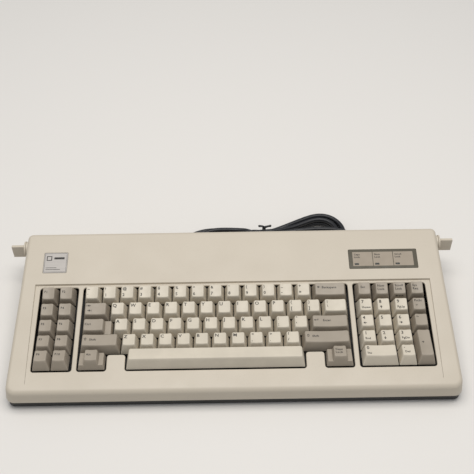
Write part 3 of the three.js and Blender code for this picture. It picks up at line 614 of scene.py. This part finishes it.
def rounded_shell(inset, surface, edge_r, lip_r, steps):
    """Loops from the seam up the leaning wall and round the edge onto a sloping surface."""
    columns = []
    for plan, out in outline(inset):
        z = surface(plan.y)
        for _ in range(6):  # closes in on where the leaning wall meets the surface
            z = surface(wall_point(plan, inset, z).y)
        tip = wall_point(plan, inset, z)
        down = (wall_point(plan, inset, z - 5) - tip).normalized()
        inward = -0.5 * out
        along = Vector((*inward, surface(tip.y + inward.y) - surface(tip.y))).normalized()
        front = max(0.0, -out.y)
        radius = edge_r + (lip_r - edge_r) * front * front * (3 - 2 * front)
        half = down.angle(along) / 2
        centre = tip + (down + along).normalized() * radius / math.sin(half)
        start = tip + down * radius / math.tan(half) - centre
        end = tip + along * radius / math.tan(half) - centre
        turn = start.angle(end)
        arc = [centre + (start * math.sin((1 - s) * turn) + end * math.sin(s * turn))
               / math.sin(turn) for s in (i / steps for i in range(steps + 1))]
        columns.append([wall_point(plan, inset, SEAM_Z + 0.6), *arc])
    return [[column[i] for column in columns] for i in range(len(columns[0]))]


def main_opening():
    """The main block's outline, with the panel's two tongues beside the space bar."""
    front, tongue, rear = OPENING_FRONT_Y, TONGUE_REAR_Y, OPENING_REAR_Y
    left, a, b, c, d, right = (
        MAIN_LEFT + units * UNIT + side * KEY_CLEAR for units, side in
        ((0, -1), (1.5, 1), (2.625, -1), (12.375, 1), (13.5, -1), (MAIN_UNITS, 1)))
    return [(left, front), (a, front), (a, tongue), (b, tongue), (b, front), (c, front),
            (c, tongue), (d, tongue), (d, front), (right, front), (right, rear), (left, rear)]


def block_opening(left, units, clear_left=KEY_CLEAR, clear_right=KEY_CLEAR):
    x0, x1, front, rear = (left - clear_left, left + units * UNIT + clear_right,
                           OPENING_FRONT_Y, OPENING_REAR_Y)
    return [(x0, front), (x1, front), (x1, rear), (x0, rear)]


def ceiling_z(y):
    """Underside of the cover: below the panel, up a short ramp, then below the deck."""
    low, high = panel_z(CREASE_Y), deck_z(CREASE_Y + CEILING_RAMP)
    if y <= CREASE_Y:
        return panel_z(y) - WALL
    if y <= CREASE_Y + CEILING_RAMP:
        return low + (high - low) * (y - CREASE_Y) / CEILING_RAMP - WALL
    return deck_z(y) - WALL


def on_deck(fitting, u, v, w):
    """A point in a deck fitting's own plane, w above it."""
    c, s = math.cos(DECK_TILT), math.sin(DECK_TILT)
    return Vector((fitting["x"] + u, fitting["y"] + v * c - w * s,
                   deck_z(fitting["y"]) + v * s + w * c))


def pocket_ring(bm, fitting, grow, depth):
    flat = rounded_loop(fitting["width"] / 2 + grow, fitting["depth"] / 2 + grow, 1.2,
                        along_x=1, along_y=1)
    return ring(bm, [on_deck(fitting, u, v, -depth) for u, v in flat])


def panel_step(bm):
    """Rings of the step round the key panel, deepest at the rear and gone at the front."""
    profile = [(0, 0), (0.18, 0.03), (0.34, 0.22), (0.48, 0.62), (0.62, 0.9), (0.8, 0.985), (1, 1)]
    bands = []
    for across, drop in profile:
        points = []
        for side, at_rear in ((-1, False), (-1, True), (1, True), (1, False)):
            y = CREASE_Y if at_rear else PANEL_FRONT_Y
            half = PANEL_REAR_HALF_WIDTH if at_rear else PANEL_FRONT_HALF_WIDTH
            run = PANEL_STEP_RUN if at_rear else 0
            top, low = palm_z(y), panel_z(y - run)
            points.append((side * (half - PANEL_STEP_RUN * across), y - run * across,
                           top + (low - top) * drop))
        bands.append(ring(bm, points))
    skin(bm, bands, closed=False)
    return bands


def opening(bm, corners):
    """An opening's rounded edge, thin rim and set-back wall; returns its top and bottom rings."""
    levels = []
    for degrees in range(0, 91, 18):
        a = math.radians(degrees)
        levels.append((OPENING_EDGE_R * (1 - math.sin(a)), OPENING_EDGE_R * (1 - math.cos(a))))
    levels += [(0, OPENING_RIM), (OPENING_OVERHANG, OPENING_RIM), (OPENING_OVERHANG, WALL)]
    rings = [ring(bm, [(p.x, p.y, panel_z(p.y) - drop)
                       for p in rounded_polygon(corners, OPENING_CORNER_R, grow)])
             for grow, drop in levels]
    skin(bm, rings)
    return rings[0], rings[-1]


def drill(piece, holes):
    """Cuts round holes (radius, centre, axis, length) and keeps the result as the mesh."""
    for radius, centre, axis, length in holes:
        bm = bmesh.new()
        profile = [(0, -length / 2), (radius, -length / 2), (radius, length / 2), (0, length / 2)]
        lathe(bm, profile, centre, axis, 40)
        bmesh.ops.recalc_face_normals(bm, faces=bm.faces)
        tool = bpy.data.objects.new("drill", mesh_of(bm, "drill"))
        scene.collection.objects.link(tool)
        modifier = piece.modifiers.new("hole", "BOOLEAN")
        modifier.object, modifier.operation, modifier.solver = tool, "DIFFERENCE", "EXACT"
        bpy.context.view_layer.update()
        drilled = bpy.data.meshes.new_from_object(
            piece.evaluated_get(bpy.context.evaluated_depsgraph_get()))
        piece.modifiers.clear()
        piece.data = drilled
        bpy.data.objects.remove(tool)


def top_cover():
    bm = bmesh.new()
    outer = [ring(bm, loop) for loop in rounded_shell(0, top_z, TOP_EDGE_R, LIP_R, 8)]
    inner = [ring(bm, loop)
             for loop in rounded_shell(WALL, ceiling_z, CEILING_EDGE_R, LIP_R - WALL, 4)]
    # the seam's lower rim, with a small round at each side
    lips = [ring(bm, [wall_point(plan, inset, SEAM_Z) for plan, _ in outline(inset)])
            for inset in (0.5, WALL - 0.4)]
    skin(bm, inner[::-1] + lips[::-1] + outer)
    edge, roof = outer[-1], inner[-1]
    # two corners' samples, then two marks on each side: see outline()
    left_crease, right_crease = 2 * CORNER_SAMPLES + 1, 4 * CORNER_SAMPLES + 2
    rear = edge[right_crease:] + edge[:left_crease + 1]
    front = edge[left_crease:right_crease + 1]

    bands = panel_step(bm)
    left_side, right_side = [band[0] for band in bands], [band[3] for band in bands]
    openings, collars = zip(*(opening(bm, corners) for corners in (
        block_opening(FUNCTION_LEFT, 2, clear_right=FUNCTION_CLEAR_RIGHT), main_opening(),
        block_opening(NUMPAD_LEFT, 4, clear_left=NUMPAD_CLEAR_LEFT))))

    # pockets for the badge and, open underneath, for the indicator
    rim = ((0.6, 0), (0.36, 0.1), (0.3, 0.3))
    pocket = [pocket_ring(bm, BADGE, *level) for level in (*rim, (0.3, 1.1))]
    window = [pocket_ring(bm, INDICATOR, *level)
              for level in (*rim, (0.3, 1.5), (-2, 1.5), (-2, 2.4))]
    window.append(ring(bm, [(v.co.x, v.co.y, ceiling_z(v.co.y)) for v in window[-1]]))
    skin(bm, pocket)
    skin(bm, window)
    bm.faces.new(pocket[-1])

    fill(bm, rear + bands[0][1:3], pocket[0], window[0])
    fill(bm, front + bands[0][2:3] + right_side + left_side[::-1] + bands[0][1:2])
    fill(bm, bands[-1], *openings)
    fill(bm, roof[left_crease:right_crease + 1], *collars)
    bm.faces.new([roof[left_crease - 1], roof[left_crease], roof[right_crease],
                  roof[right_crease + 1]])
    fill(bm, roof[right_crease + 1:] + roof[:left_crease], window[-1])
    bmesh.ops.remove_doubles(bm, verts=bm.verts, dist=WELD)
    cover = case_piece(bm, "cover_top", CASE, "case_plastic", "top_cover")
    right_through = 480
    drill(cover, [(SHAFT_HOLE_R, (0, PIVOT_Y, PIVOT_Z), "x", right_through),
                  (CORD_HOLE_R, CORD_EXIT, "y", 16)])
    shade(cover.data)
    modifier = cover.modifiers.new("weighted_normals", "WEIGHTED_NORMAL")
    modifier.keep_sharp = True
    modifier.weight = 80


def shaft_boss(name, side):
    """A raised ring on the side wall round a foot's shaft."""
    bm = bmesh.new()
    profile = [(SHAFT_HOLE_R, BOSS_INNER_X), (BOSS_R, BOSS_INNER_X), (BOSS_R, BOSS_OUTER_X - 0.1),
               (BOSS_R - 0.1, BOSS_OUTER_X), (SHAFT_HOLE_R + 0.2, BOSS_OUTER_X),
               (SHAFT_HOLE_R, BOSS_OUTER_X - 0.2)]
    lathe(bm, [(radius, side * along) for radius, along in profile + profile[:1]],
          (0, PIVOT_Y, PIVOT_Z), "x", 48)
    bmesh.ops.remove_doubles(bm, verts=bm.verts, dist=WELD)
    case_piece(bm, name, CASE, "case_plastic", "top_cover")


top_cover()
shaft_boss("shaft_boss_left", -1)
shaft_boss("shaft_boss_right", 1)


# ---- legends
ARROW = [(0, -0.35), (1.6, -0.35), (1.6, -1.45), (3.6, 0), (1.6, 1.45), (1.6, 0.35), (0, 0.35)]
ARROW_MIDDLE = 1.8
HOOK = [(0, 0), (1.6, -1.2), (1.6, -0.3), (4.6, -0.3), (4.6, 1.6), (4.0, 1.6), (4.0, 0.3),
        (1.6, 0.3), (1.6, 1.2)]
WIDE_ARROW = [(0, 0.4), (0.8, 0.4), (0.8, -1.3), (2.4, -1.3), (2.4, 0.4), (3.2, 0.4), (1.6, 2.2)]
BAR = [(0, -1.1), (0.45, -1.1), (0.45, 1.1), (0, 1.1)]
MARK_RISE = 1.4  # from a legend's baseline to the middle of a drawn mark
GLYPH_HALF = 0.05  # half a legend's thickness before it is laid on a cap


def turned(points, quarter):
    """A drawn arrow turned by quarter turns about its middle."""
    c, s = ((1, 0), (0, 1), (-1, 0), (0, -1))[quarter]
    return [(ARROW_MIDDLE + (x - ARROW_MIDDLE) * c - y * s, (x - ARROW_MIDDLE) * s + y * c)
            for x, y in points]


def shifted(points, dx):
    return [(x + dx, y) for x, y in points]


def solid(*outlines):
    """Drawn outlines as flat bodies: (vertices, faces)."""
    points, faces = [], []
    for drawn in outlines:
        low = range(len(points), len(points) + len(drawn))
        high = range(low.stop, low.stop + len(drawn))
        points += [Vector((x, y + MARK_RISE, z)) for z in (-GLYPH_HALF, GLYPH_HALF)
                   for x, y in drawn]
        faces += [low[::-1], high]
        faces += [[low[i - 1], low[i], high[i], high[i - 1]] for i in range(len(drawn))]
    return points, faces


def hollow(drawn, share):
    """A drawn mark's edge as a flat body: its outline joined to a smaller copy of itself."""
    count = len(drawn)
    cx, cy = sum(x for x, _ in drawn) / count, sum(y for _, y in drawn) / count
    loops = ((1, -GLYPH_HALF), (1, GLYPH_HALF), (share, GLYPH_HALF), (share, -GLYPH_HALF))
    points = [Vector((cx + scale * (x - cx), MARK_RISE + cy + scale * (y - cy), z))
              for scale, z in loops for x, y in drawn]
    faces = [[a * count + i, a * count + j, b * count + j, b * count + i]
             for a, b in ((0, 1), (1, 2), (2, 3), (3, 0))
             for i in range(count) for j in [(i + 1) % count]]
    return points, faces


# drawn marks; every other legend is set in the built-in typeface
MARKS = {
    "right": solid(ARROW), "up": solid(turned(ARROW, 1)), "left": solid(turned(ARROW, 2)),
    "down": solid(turned(ARROW, 3)), "hook": solid(HOOK), "shift": hollow(WIDE_ARROW, 0.55),
    "tab back": solid(BAR, shifted(turned(ARROW, 2), 0.75)),
    "tab on": solid(ARROW, shifted(BAR, 3.9)),
}


@cache
def glyph(text, size):
    """A legend as flat (vertices, faces), baseline at the origin, in millimetres."""
    if text in MARKS:
        return MARKS[text]
    curve = bpy.data.curves.new("glyph", "FONT")
    curve.body = text
    curve.size = size
    curve.resolution_u = 2
    curve.extrude = GLYPH_HALF
    curve.offset = 0.05 * size ** 0.5  # makes the strokes a little bolder
    curve.space_character = 1.1
    holder = bpy.data.objects.new("glyph", curve)
    scene.collection.objects.link(holder)
    bpy.context.view_layer.update()
    bm = bmesh.new()
    bm.from_mesh(bpy.data.meshes.new_from_object(
        holder.evaluated_get(bpy.context.evaluated_depsgraph_get())))
    bmesh.ops.remove_doubles(bm, verts=bm.verts, dist=WELD / 2)
    bm.verts.index_update()
    shape = ([v.co.copy() for v in bm.verts], [[v.index for v in f.verts] for f in bm.faces])
    bm.free()
    bpy.data.objects.remove(holder)
    return shape


def print_on(bm, shape, place, material_index=0):
    """Adds a legend's body; `place` takes each of its points to a spot on the surface."""
    points, faces = shape
    made = ring(bm, [place(p) for p in points])
    for face in faces:
        bm.faces.new([made[i] for i in face]).material_index = material_index


def ink_level(point):
    return INK_PROUD if point.z > 0 else -INK_SUNK


# a legend is a list of (text, size, distance from the top's left edge, baseline from its middle)
def letters(text):
    """One legend for each character."""
    return [[(character, LETTER_SIZE, 0.75, 1.5)] for character in text]


def pairs(uppers, lowers):
    """One legend for each character of `lowers`, with its shifted character above it."""
    return [[(upper, 4.4, 0.9, 2.4), (lower, 4.8, 0.9, -4.9)]
            for upper, lower in zip(uppers, lowers)]


def word(text, x=1.2, y=-0.7, mark="", mark_x=1.6):
    """A word, with a drawn mark before it if one is named."""
    marks = [(mark, 0, mark_x, y)] if mark else []
    return marks + [(text, WORD_SIZE, x, y)]


def stack(upper, lower, x=1.3, y=0.0):
    return [(upper, WORD_SIZE, x, y + 1.1), (lower, WORD_SIZE, x, y - 2.8)]


def pad(figure, below=""):
    """A pad key's figure, with a smaller legend below it if one is named."""
    low = [(below, WORD_SIZE, 1.6, -4.6)] if below else []
    return [(figure, LETTER_SIZE, 1.5, 1.3)] + low


# ---- keycaps
def stand_on_row(row):
    """The matrix that takes a cap drawn at the origin to its row on the arc."""
    angle = HOME_TILT + (3 - row) * UNIT / KEY_ARC_R
    place = Vector((0, ARC_Y + KEY_ARC_R * math.sin(angle), ARC_Z - KEY_ARC_R * math.cos(angle)))
    return Matrix.Translation(place) @ Matrix.Rotation(angle, 4, "X")


class Cap:
    """One keycap: sizes of its skirt and top, and its dish."""

    def __init__(self, units, tall=1.0, dish=0.85, step=None):
        extra = (tall - 1) * UNIT
        top_units, self.x = step or (units, 0.0)
        self.skirt = ((units * UNIT - CAP_GAP) / 2, (CAP_DEPTH + extra) / 2)
        self.foot = ((top_units * UNIT - CAP_GAP) / 2, (CAP_DEPTH + extra) / 2)
        self.top = (self.foot[0] - CAP_TAPER / 2, (CAP_TOP_DEPTH + extra) / 2)
        self.dish = dish
        self.stepped = step is not None
        self.along_x = max(6, round(5 * top_units))

    def height(self, x):
        """The dished top's height at x."""
        across = min(1.0, abs(x - self.x) / self.top[0])
        return -self.dish * (1 - across * across)

    def side(self, z):
        """Half sizes, corner radius and rearward shift of the raised part's outline at z."""
        share = min(1.0, max(0.0, 1 + z / CAP_HEIGHT))
        half = [f + (t - f) * share for f, t in zip(self.foot, self.top)]
        return half[0], half[1], 0.7 + 1.1 * share, CAP_TOP_SHIFT * share

    def loop(self, bm, half_x, half_y, radius, z, cx, cy, follow=0.0):
        """A level outline; `follow` is its share of the dish."""
        flat = rounded_loop(half_x, half_y, radius, cx, cy, 4, self.along_x, 4)
        return ring(bm, [(x, y, z + follow * self.height(x)) for x, y in flat])

    def shelf(self):
        """Levels of the low shelf beside the raised part; front and rear faces run through."""
        levels = []
        for z in (-CAP_HEIGHT + SKIRT_EDGE, STEP_Z):
            hx, hy, _, shift = self.side(z)
            levels.append((self.skirt[0] - self.foot[0] + hx, hy, 0.8, z, 0, shift))
        for grow, z in ((-0.02, STEP_Z), (0.0, STEP_Z + 0.3)):
            hx, hy, radius, shift = self.side(z)
            levels.append((hx + grow, hy + grow, radius, z, self.x, shift))
        return levels

    def levels(self):
        """The values of loop() from the stem's end, round the skirt, to the middle of the top."""
        stem_z = -CAP_TOP_THICK - self.dish * 0.5
        skirt_x, skirt_y = self.skirt
        hx, hy, _, shift = self.side(stem_z)
        levels = [(STEM_HALF, STEM_HALF, 0.5, STEM_END, self.x, 0),
                  (STEM_HALF, STEM_HALF, 0.5, stem_z, self.x, 0),
                  (hx - 1.1, hy - 1.1, 0.8, stem_z, self.x, shift)]
        if self.stepped:
            under = STEP_Z - SHELF_THICK
            hx, hy, _, shift = self.side(under)
            levels += [(hx - 1.2, hy - 1.3, 0.5, under, self.x, shift),
                       (skirt_x - 2.4, hy - 1.28, 0.5, under, 0, shift)]
        levels += [(skirt_x - CAP_WALL, skirt_y - CAP_WALL, 0.5, -CAP_HEIGHT, 0, 0),
                   (skirt_x - SKIRT_EDGE, skirt_y - SKIRT_EDGE, 0.6, -CAP_HEIGHT, 0, 0)]
        levels += self.shelf() if self.stepped else [
            (skirt_x, skirt_y, 0.7, -CAP_HEIGHT + SKIRT_EDGE, 0, 0)]
        for z, follow in ((-2.6, 0.35), (-CAP_EDGE_R, 1.0)):
            hx, hy, radius, shift = self.side(z)
            levels.append((hx, hy, radius, z, self.x, shift, follow))
        hx, hy, radius, shift = self.side(0)
        for degrees in (30, 60, 90):
            a = math.radians(degrees)
            inset, z = CAP_EDGE_R * (1 - math.cos(a)), -CAP_EDGE_R * (1 - math.sin(a))
            levels.append((hx - inset, hy - inset, radius, z, self.x, shift, 1.0))
        return levels + [(hx * share, hy * share, radius * share, 0, self.x, shift, 1.0)
                         for share in (0.86, 0.6, 0.3)]

    def build(self):
        bm = bmesh.new()
        loops = [self.loop(bm, *level) for level in self.levels()]
        skin(bm, loops)
        bm.faces.new(loops[0][::-1])
        last = loops[-1]
        middle = bm.verts.new((self.x, CAP_TOP_SHIFT, self.height(self.x)))
        for before, vert in zip(last, last[1:] + last[:1]):
            bm.faces.new([before, vert, middle])
        bmesh.ops.recalc_face_normals(bm, faces=bm.faces)
        return bm


def print_legend(bm, cap, legend):
    """Prints a legend on a cap's dished top."""
    for text, size, left, base in legend:
        def place(p, left=left, base=base):
            x = cap.x - cap.top[0] + left + p.x
            return x, CAP_TOP_SHIFT + base + p.y, cap.height(x) + ink_level(p)
        print_on(bm, glyph(text, size), place, 1)


def print_on_front(bm, cap, text):
    """A small word on the cap's sloping front face."""
    shape = glyph(text, WORD_SIZE)
    width = max(p.x for p in shape[0])

    def place(p):
        z = FRONT_WORD_Z + p.y
        _, hy, _, shift = cap.side(z)
        return cap.x + p.x - width / 2, shift - hy - ink_level(p), z
    print_on(bm, shape, place, 1)


def add_cap(name, node, cap, x, row, legend, material, front=""):
    bm = cap.build()
    print_legend(bm, cap, legend)
    if front:
        print_on_front(bm, cap, front)
    bmesh.ops.transform(bm, matrix=Matrix.Translation((x, 0, 0)) @ stand_on_row(row),
                        verts=bm.verts)
    piece = new_object(name, mesh_of(bm, name, 42), [material, INK], node + "_body")
    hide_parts(node)


def lay_keys(left, row, entries):
    """Entries are (node, units, legends, material, cap options); each legend is one cap."""
    cursor = left
    for entry in entries:
        if isinstance(entry, float):
            cursor += entry * UNIT
            continue
        node, units, legends, material, *options = entry
        options = dict(*options)
        front = options.pop("front", "")
        for i, legend in enumerate(legends):
            cap = Cap(units, **options)
            name = node if len(legends) == 1 else f"{node}_{i + 1}"
            add_cap("cap_" + name, node, cap, cursor + units * UNIT / 2, row, legend, material,
                    front)
            cursor += units * UNIT


W, G = CAP_WHITE, CAP_GREY  # short names for the tables
WIDE = {"dish": 1.0}
for row in range(1, 6):
    odd, even = 2 * row - 1, 2 * row
    lay_keys(FUNCTION_LEFT, row, [
        (f"keys_f{odd}_f{even}", 1, [word(f"F{n}", 1.6, 0.3) for n in (odd, even)], G)])
lay_keys(MAIN_LEFT, 1, [
    ("keys_digit_row_left", 1, pairs("~!@#$", "`1234"), W),
    ("keys_digit_row_middle", 1, pairs("%^&*", "5678"), W),
    ("keys_digit_row_right", 1, pairs("()_+", "90-="), W),
    ("key_backspace", 2, [word("Backspace", 6.8, 0.6, "left")], G, WIDE),
])
lay_keys(MAIN_LEFT, 2, [
    ("key_tab", 1.5, [[("tab back", 0, 1.4, 2.2), ("tab on", 0, 2.4, -3.6)]], G, WIDE),
    ("keys_upper_row_left", 1, letters("QWER"), W),
    ("keys_upper_row_middle", 1, letters("TYUI"), W),
    ("keys_upper_row_right", 1, letters("OP") + pairs("{}", "[]"), W),
    ("key_backslash", 1.5, [[("|", 4.0, 1.6, 2.6), ("\\", 4.0, 1.6, -2.4)]], W, WIDE),
])
lay_keys(MAIN_LEFT, 3, [
    ("key_ctrl", 1.75, [word("Ctrl", 0.9)], G, {"step": (1.416, -0.167 * UNIT)}),
    ("keys_home_row_left", 1, letters("ASDFGH"), W),
    ("keys_home_row_right", 1, letters("JKL") + pairs(":\"", ";'"), W),
    ("key_enter", 2.25, [word("Enter", 10.4, -0.4, "hook", 0.9)], G, WIDE),
])
lay_keys(MAIN_LEFT, 4, [
    ("key_shift_left", 2.25, [word("Shift", 7.4, mark="shift")], G, WIDE),
    ("keys_lower_row_left", 1, letters("ZXCVB"), W),
    ("keys_lower_row_right", 1, letters("NM") + pairs("<>?", ",./"), W),
    ("key_shift_right", 2.75, [word("Shift", 7.4, mark="shift")], G, WIDE),
])
lay_keys(MAIN_LEFT, 5, [
    ("key_alt", 1.5, [word("Alt", 1.4)], G, {"step": (1, 0)}),
    1.125,
    ("key_space", 9.75, [[]], W, {"dish": 0.0}),
    1.125,
    ("key_caps_lock", 1.5, [stack("Caps", "Lock")], G, {"step": (1, 0)}),
])
lay_keys(NUMPAD_LEFT, 1, [
    ("key_escape", 1, [word("Esc", 2.2, 0.2)], G),
    ("key_num_lock", 1, [stack("Num", "Lock", y=0.4)], G),
    ("key_scroll_lock", 1, [stack("Scroll", "Lock", y=0.4)], G, {"front": "Break"}),
    ("key_sys_req", 1, [stack("Sys", "Req", y=0.4)], G),
])
lay_keys(NUMPAD_LEFT, 2, [
    ("keys_pad_7_8_9", 1, [pad("7", "Home"), pad("8", "up"), pad("9", "PgUp")], W),
    ("key_print_screen", 1, [[("PrtSc", WORD_SIZE, 1.3, 2.6), ("*", 5.0, 2.4, -4.4)]], G),
])
lay_keys(NUMPAD_LEFT, 3, [
    ("keys_pad_4_5_6", 1, [pad("4", "left"), pad("5"), pad("6", "right")], W),
    ("key_pad_minus", 1, [[("−", 5.0, 1.0, 1.8)]], G),
])
lay_keys(NUMPAD_LEFT, 4, [
    ("keys_pad_1_2_3", 1, [pad("1", "End"), pad("2", "down"), pad("3", "PgDn")], W)])
lay_keys(NUMPAD_LEFT, 5, [
    ("key_pad_0", 2, [pad("0", "Ins")], W, WIDE),
    ("key_pad_point", 1, [[(".", 6.0, 1.6, 2.6), ("Del", WORD_SIZE, 2.4, -3.4)]], W),
])
add_cap("cap_key_pad_plus", "key_pad_plus", Cap(1, tall=2.0), NUMPAD_LEFT + 3.5 * UNIT, 4.5,
        [("+", 5.0, 2.4, -1.4)], G)


# ---- deck fittings
def plate(bm, fitting, box, levels, corner):
    """A closed plate over the box x0, x1, y0, y1: levels of (inset, height, corner radius)."""
    x0, x1, y0, y1 = box
    rings = []
    for inset, height, radius in levels:
        flat = rounded_loop((x1 - x0) / 2 - inset, (y1 - y0) / 2 - inset, radius,
                            (x0 + x1) / 2, (y0 + y1) / 2, corner, 1, 1)
        rings.append(ring(bm, [on_deck(fitting, u, v, height) for u, v in flat]))
    skin(bm, rings)
    cap_ends(bm, rings)


def whole_plate(fitting, levels, radius):
    """A fitting's main plate: levels of (inset, height), bottom first."""
    bm = bmesh.new()
    half_x, half_y = fitting["width"] / 2, fitting["depth"] / 2
    plate(bm, fitting, (-half_x, half_x, -half_y, half_y),
          [(inset, height, max(radius - inset, 0.2)) for inset, height in levels], 4)
    return bm


def slab(bm, fitting, box, low, high, radius):
    """A small slab with a softened top edge."""
    edge = min(0.12, (high - low) / 3)
    plate(bm, fitting, box, [(0, low, radius), (0, high - edge, radius), (edge, high, radius)], 3)


def indicator():
    """A dark frame, three cells with their words, and a lens in each cell."""
    frame_bm = whole_plate(
        INDICATOR, [(0.15, -1.2), (0, -1.05), (0, -0.2), (0.06, -0.06), (0.2, 0)], 1.0)
    case_piece(frame_bm, "indicator_frame", BEZEL, "bezel_plastic", "indicator_plate",
               "indicator_board")
    cells, lenses, ink = bmesh.new(), bmesh.new(), bmesh.new()
    cell_half, cell_depth = (LAMP["pitch"] - 0.7) / 2, 8.9
    for i, lines in enumerate((("Caps", "Lock"), ("Num", "Lock"), ("Scroll", "Lock"))):
        cx = (i - 1) * LAMP["pitch"]
        slab(cells, INDICATOR, (cx - cell_half, cx + cell_half, -cell_depth, cell_depth),
             -0.3, 0.14, 0.3)
        lx, ly, half_x, half_y = cx + LAMP["dx"], LAMP["dy"], LAMP["width"] / 2, LAMP["depth"] / 2
        slab(lenses, INDICATOR, (lx - half_x, lx + half_x, ly - half_y, ly + half_y), 0, 0.22, 0.5)
        for k, line in enumerate(lines):
            def place(p, x=cx - cell_half + 1.6, y=4.6 - 3.3 * k):
                return on_deck(INDICATOR, x + p.x, y + p.y, 0.18 if p.z > 0 else 0.12)
            print_on(ink, glyph(line, 3.0), place)
    for name, bm, material in (("indicator_cells", cells, CELL), ("indicator_lenses", lenses, LENS),
                               ("indicator_print", ink, INK)):
        case_piece(bm, name, material, "bezel_plastic")


def badge_outline(bm, centre, half, line, trim, high, radius):
    """Four thin slabs round a rectangle; two of them stop `trim` short of its corners."""
    (cx, cy), (half_x, half_y) = centre, half
    for side in (-1, 1):
        x, y = cx + side * half_x, cy + side * half_y
        for box in ((x - line, x + line, cy - half_y - line, cy + half_y + line),
                    (cx - half_x + trim, cx + half_x - trim, y - line, y + line)):
            slab(bm, BADGE, box, -0.05, high, radius)


def badge():
    """A plain generic badge: a keycap outline, a bar beside it and two thin rules below."""
    case_piece(whole_plate(BADGE, [(0.1, -0.8), (0, -0.7), (0, -0.15), (0.12, 0)], 1.1),
               "badge", SILVER, "badge_metal", "badge_plate")
    bm = bmesh.new()
    border = (BADGE["width"] / 2 - 1.0, BADGE["depth"] / 2 - 1.0)
    badge_outline(bm, (0, 0), border, 0.16, -0.16, 0.05, 0.05)
    badge_outline(bm, (-7.2, 5.6), (2.5, 2.5), 0.45, 0.5, 0.06, 0.2)
    slab(bm, BADGE, (-1.8, 9.6, 4.3, 6.9), -0.05, 0.06, 0.5)
    slab(bm, BADGE, (-10.5, 1.5, -6.6, -6.0), -0.05, 0.05, 0.1)
    slab(bm, BADGE, (-10.5, 5.5, -8.8, -8.2), -0.05, 0.05, 0.1)
    case_piece(bm, "badge_marks", INK, "badge_metal")


indicator()
badge()

# ---- carried-over CAD nodes
# the bottom cover takes the pan's black, which is partly painted shade for the shadow under the
# front edge
for material, edge, names in (
        (PAN, 0.5, "bottom_cover"), (BARREL, 0, "barrel_plate"), (FOAM, 0, "foam_mat"),
        (BOARD, 0, "sensor_board controller_board"), (STEEL, 0, "back_plate space_bar_wire"),
        (CASE, 0.5, "foot_left foot_right"),
        (RUBBER, 0.4, "pad_front_left pad_front_right pad_rear_left pad_rear_right")):
    for name in names.split():
        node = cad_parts[name]
        node.data.materials.clear()
        node.data.materials.append(material)
        node.modifiers.new("weld", "WELD").merge_threshold = 0.00001
        if edge:
            bevel = node.modifiers.new("soft_edges", "BEVEL")
            bevel.width, bevel.segments = edge * MM, 2
            bevel.limit_method = "ANGLE"
            bevel.angle_limit = math.radians(40)

# ---- floor and light
FLOOR_HALF = 6
floor_mesh = bpy.data.meshes.new("floor")
floor_mesh.from_pydata([(x * FLOOR_HALF, y * FLOOR_HALF, 0) for x, y in QUARTERS], [],
                       [(0, 1, 2, 3)])
floor = bpy.data.objects.new("floor", floor_mesh)
scene.collection.objects.link(floor)
floor_look = bpy.data.materials.new("floor")
floor_look.use_nodes = True
floor_inputs = floor_look.node_tree.nodes["Principled BSDF"].inputs
floor_inputs["Base Color"].default_value = (0.72, 0.70, 0.67, 1)
floor_inputs["Roughness"].default_value = 0.6
floor_mesh.materials.append(floor_look)

light = bpy.data.lights.new("overhead", "AREA")
light.shape = "RECTANGLE"
light.size, light.size_y = 1.5, 0.9
light.energy = 22
light.color = (1.0, 0.97, 0.93)
overhead = bpy.data.objects.new("overhead", light)
overhead.location = Vector((0.03, 0.12, 1.62))
aim = Vector((0, -0.05, 0)) - overhead.location
overhead.rotation_euler = aim.to_track_quat("-Z", "Y").to_euler()
scene.collection.objects.link(overhead)

world = bpy.data.worlds.new("studio")
world.use_nodes = True
sky = world.node_tree.nodes["Background"].inputs
sky["Color"].default_value = (0.9, 0.92, 0.95, 1)
sky["Strength"].default_value = 0.46
scene.world = world
scene.view_settings.view_transform = "Standard"
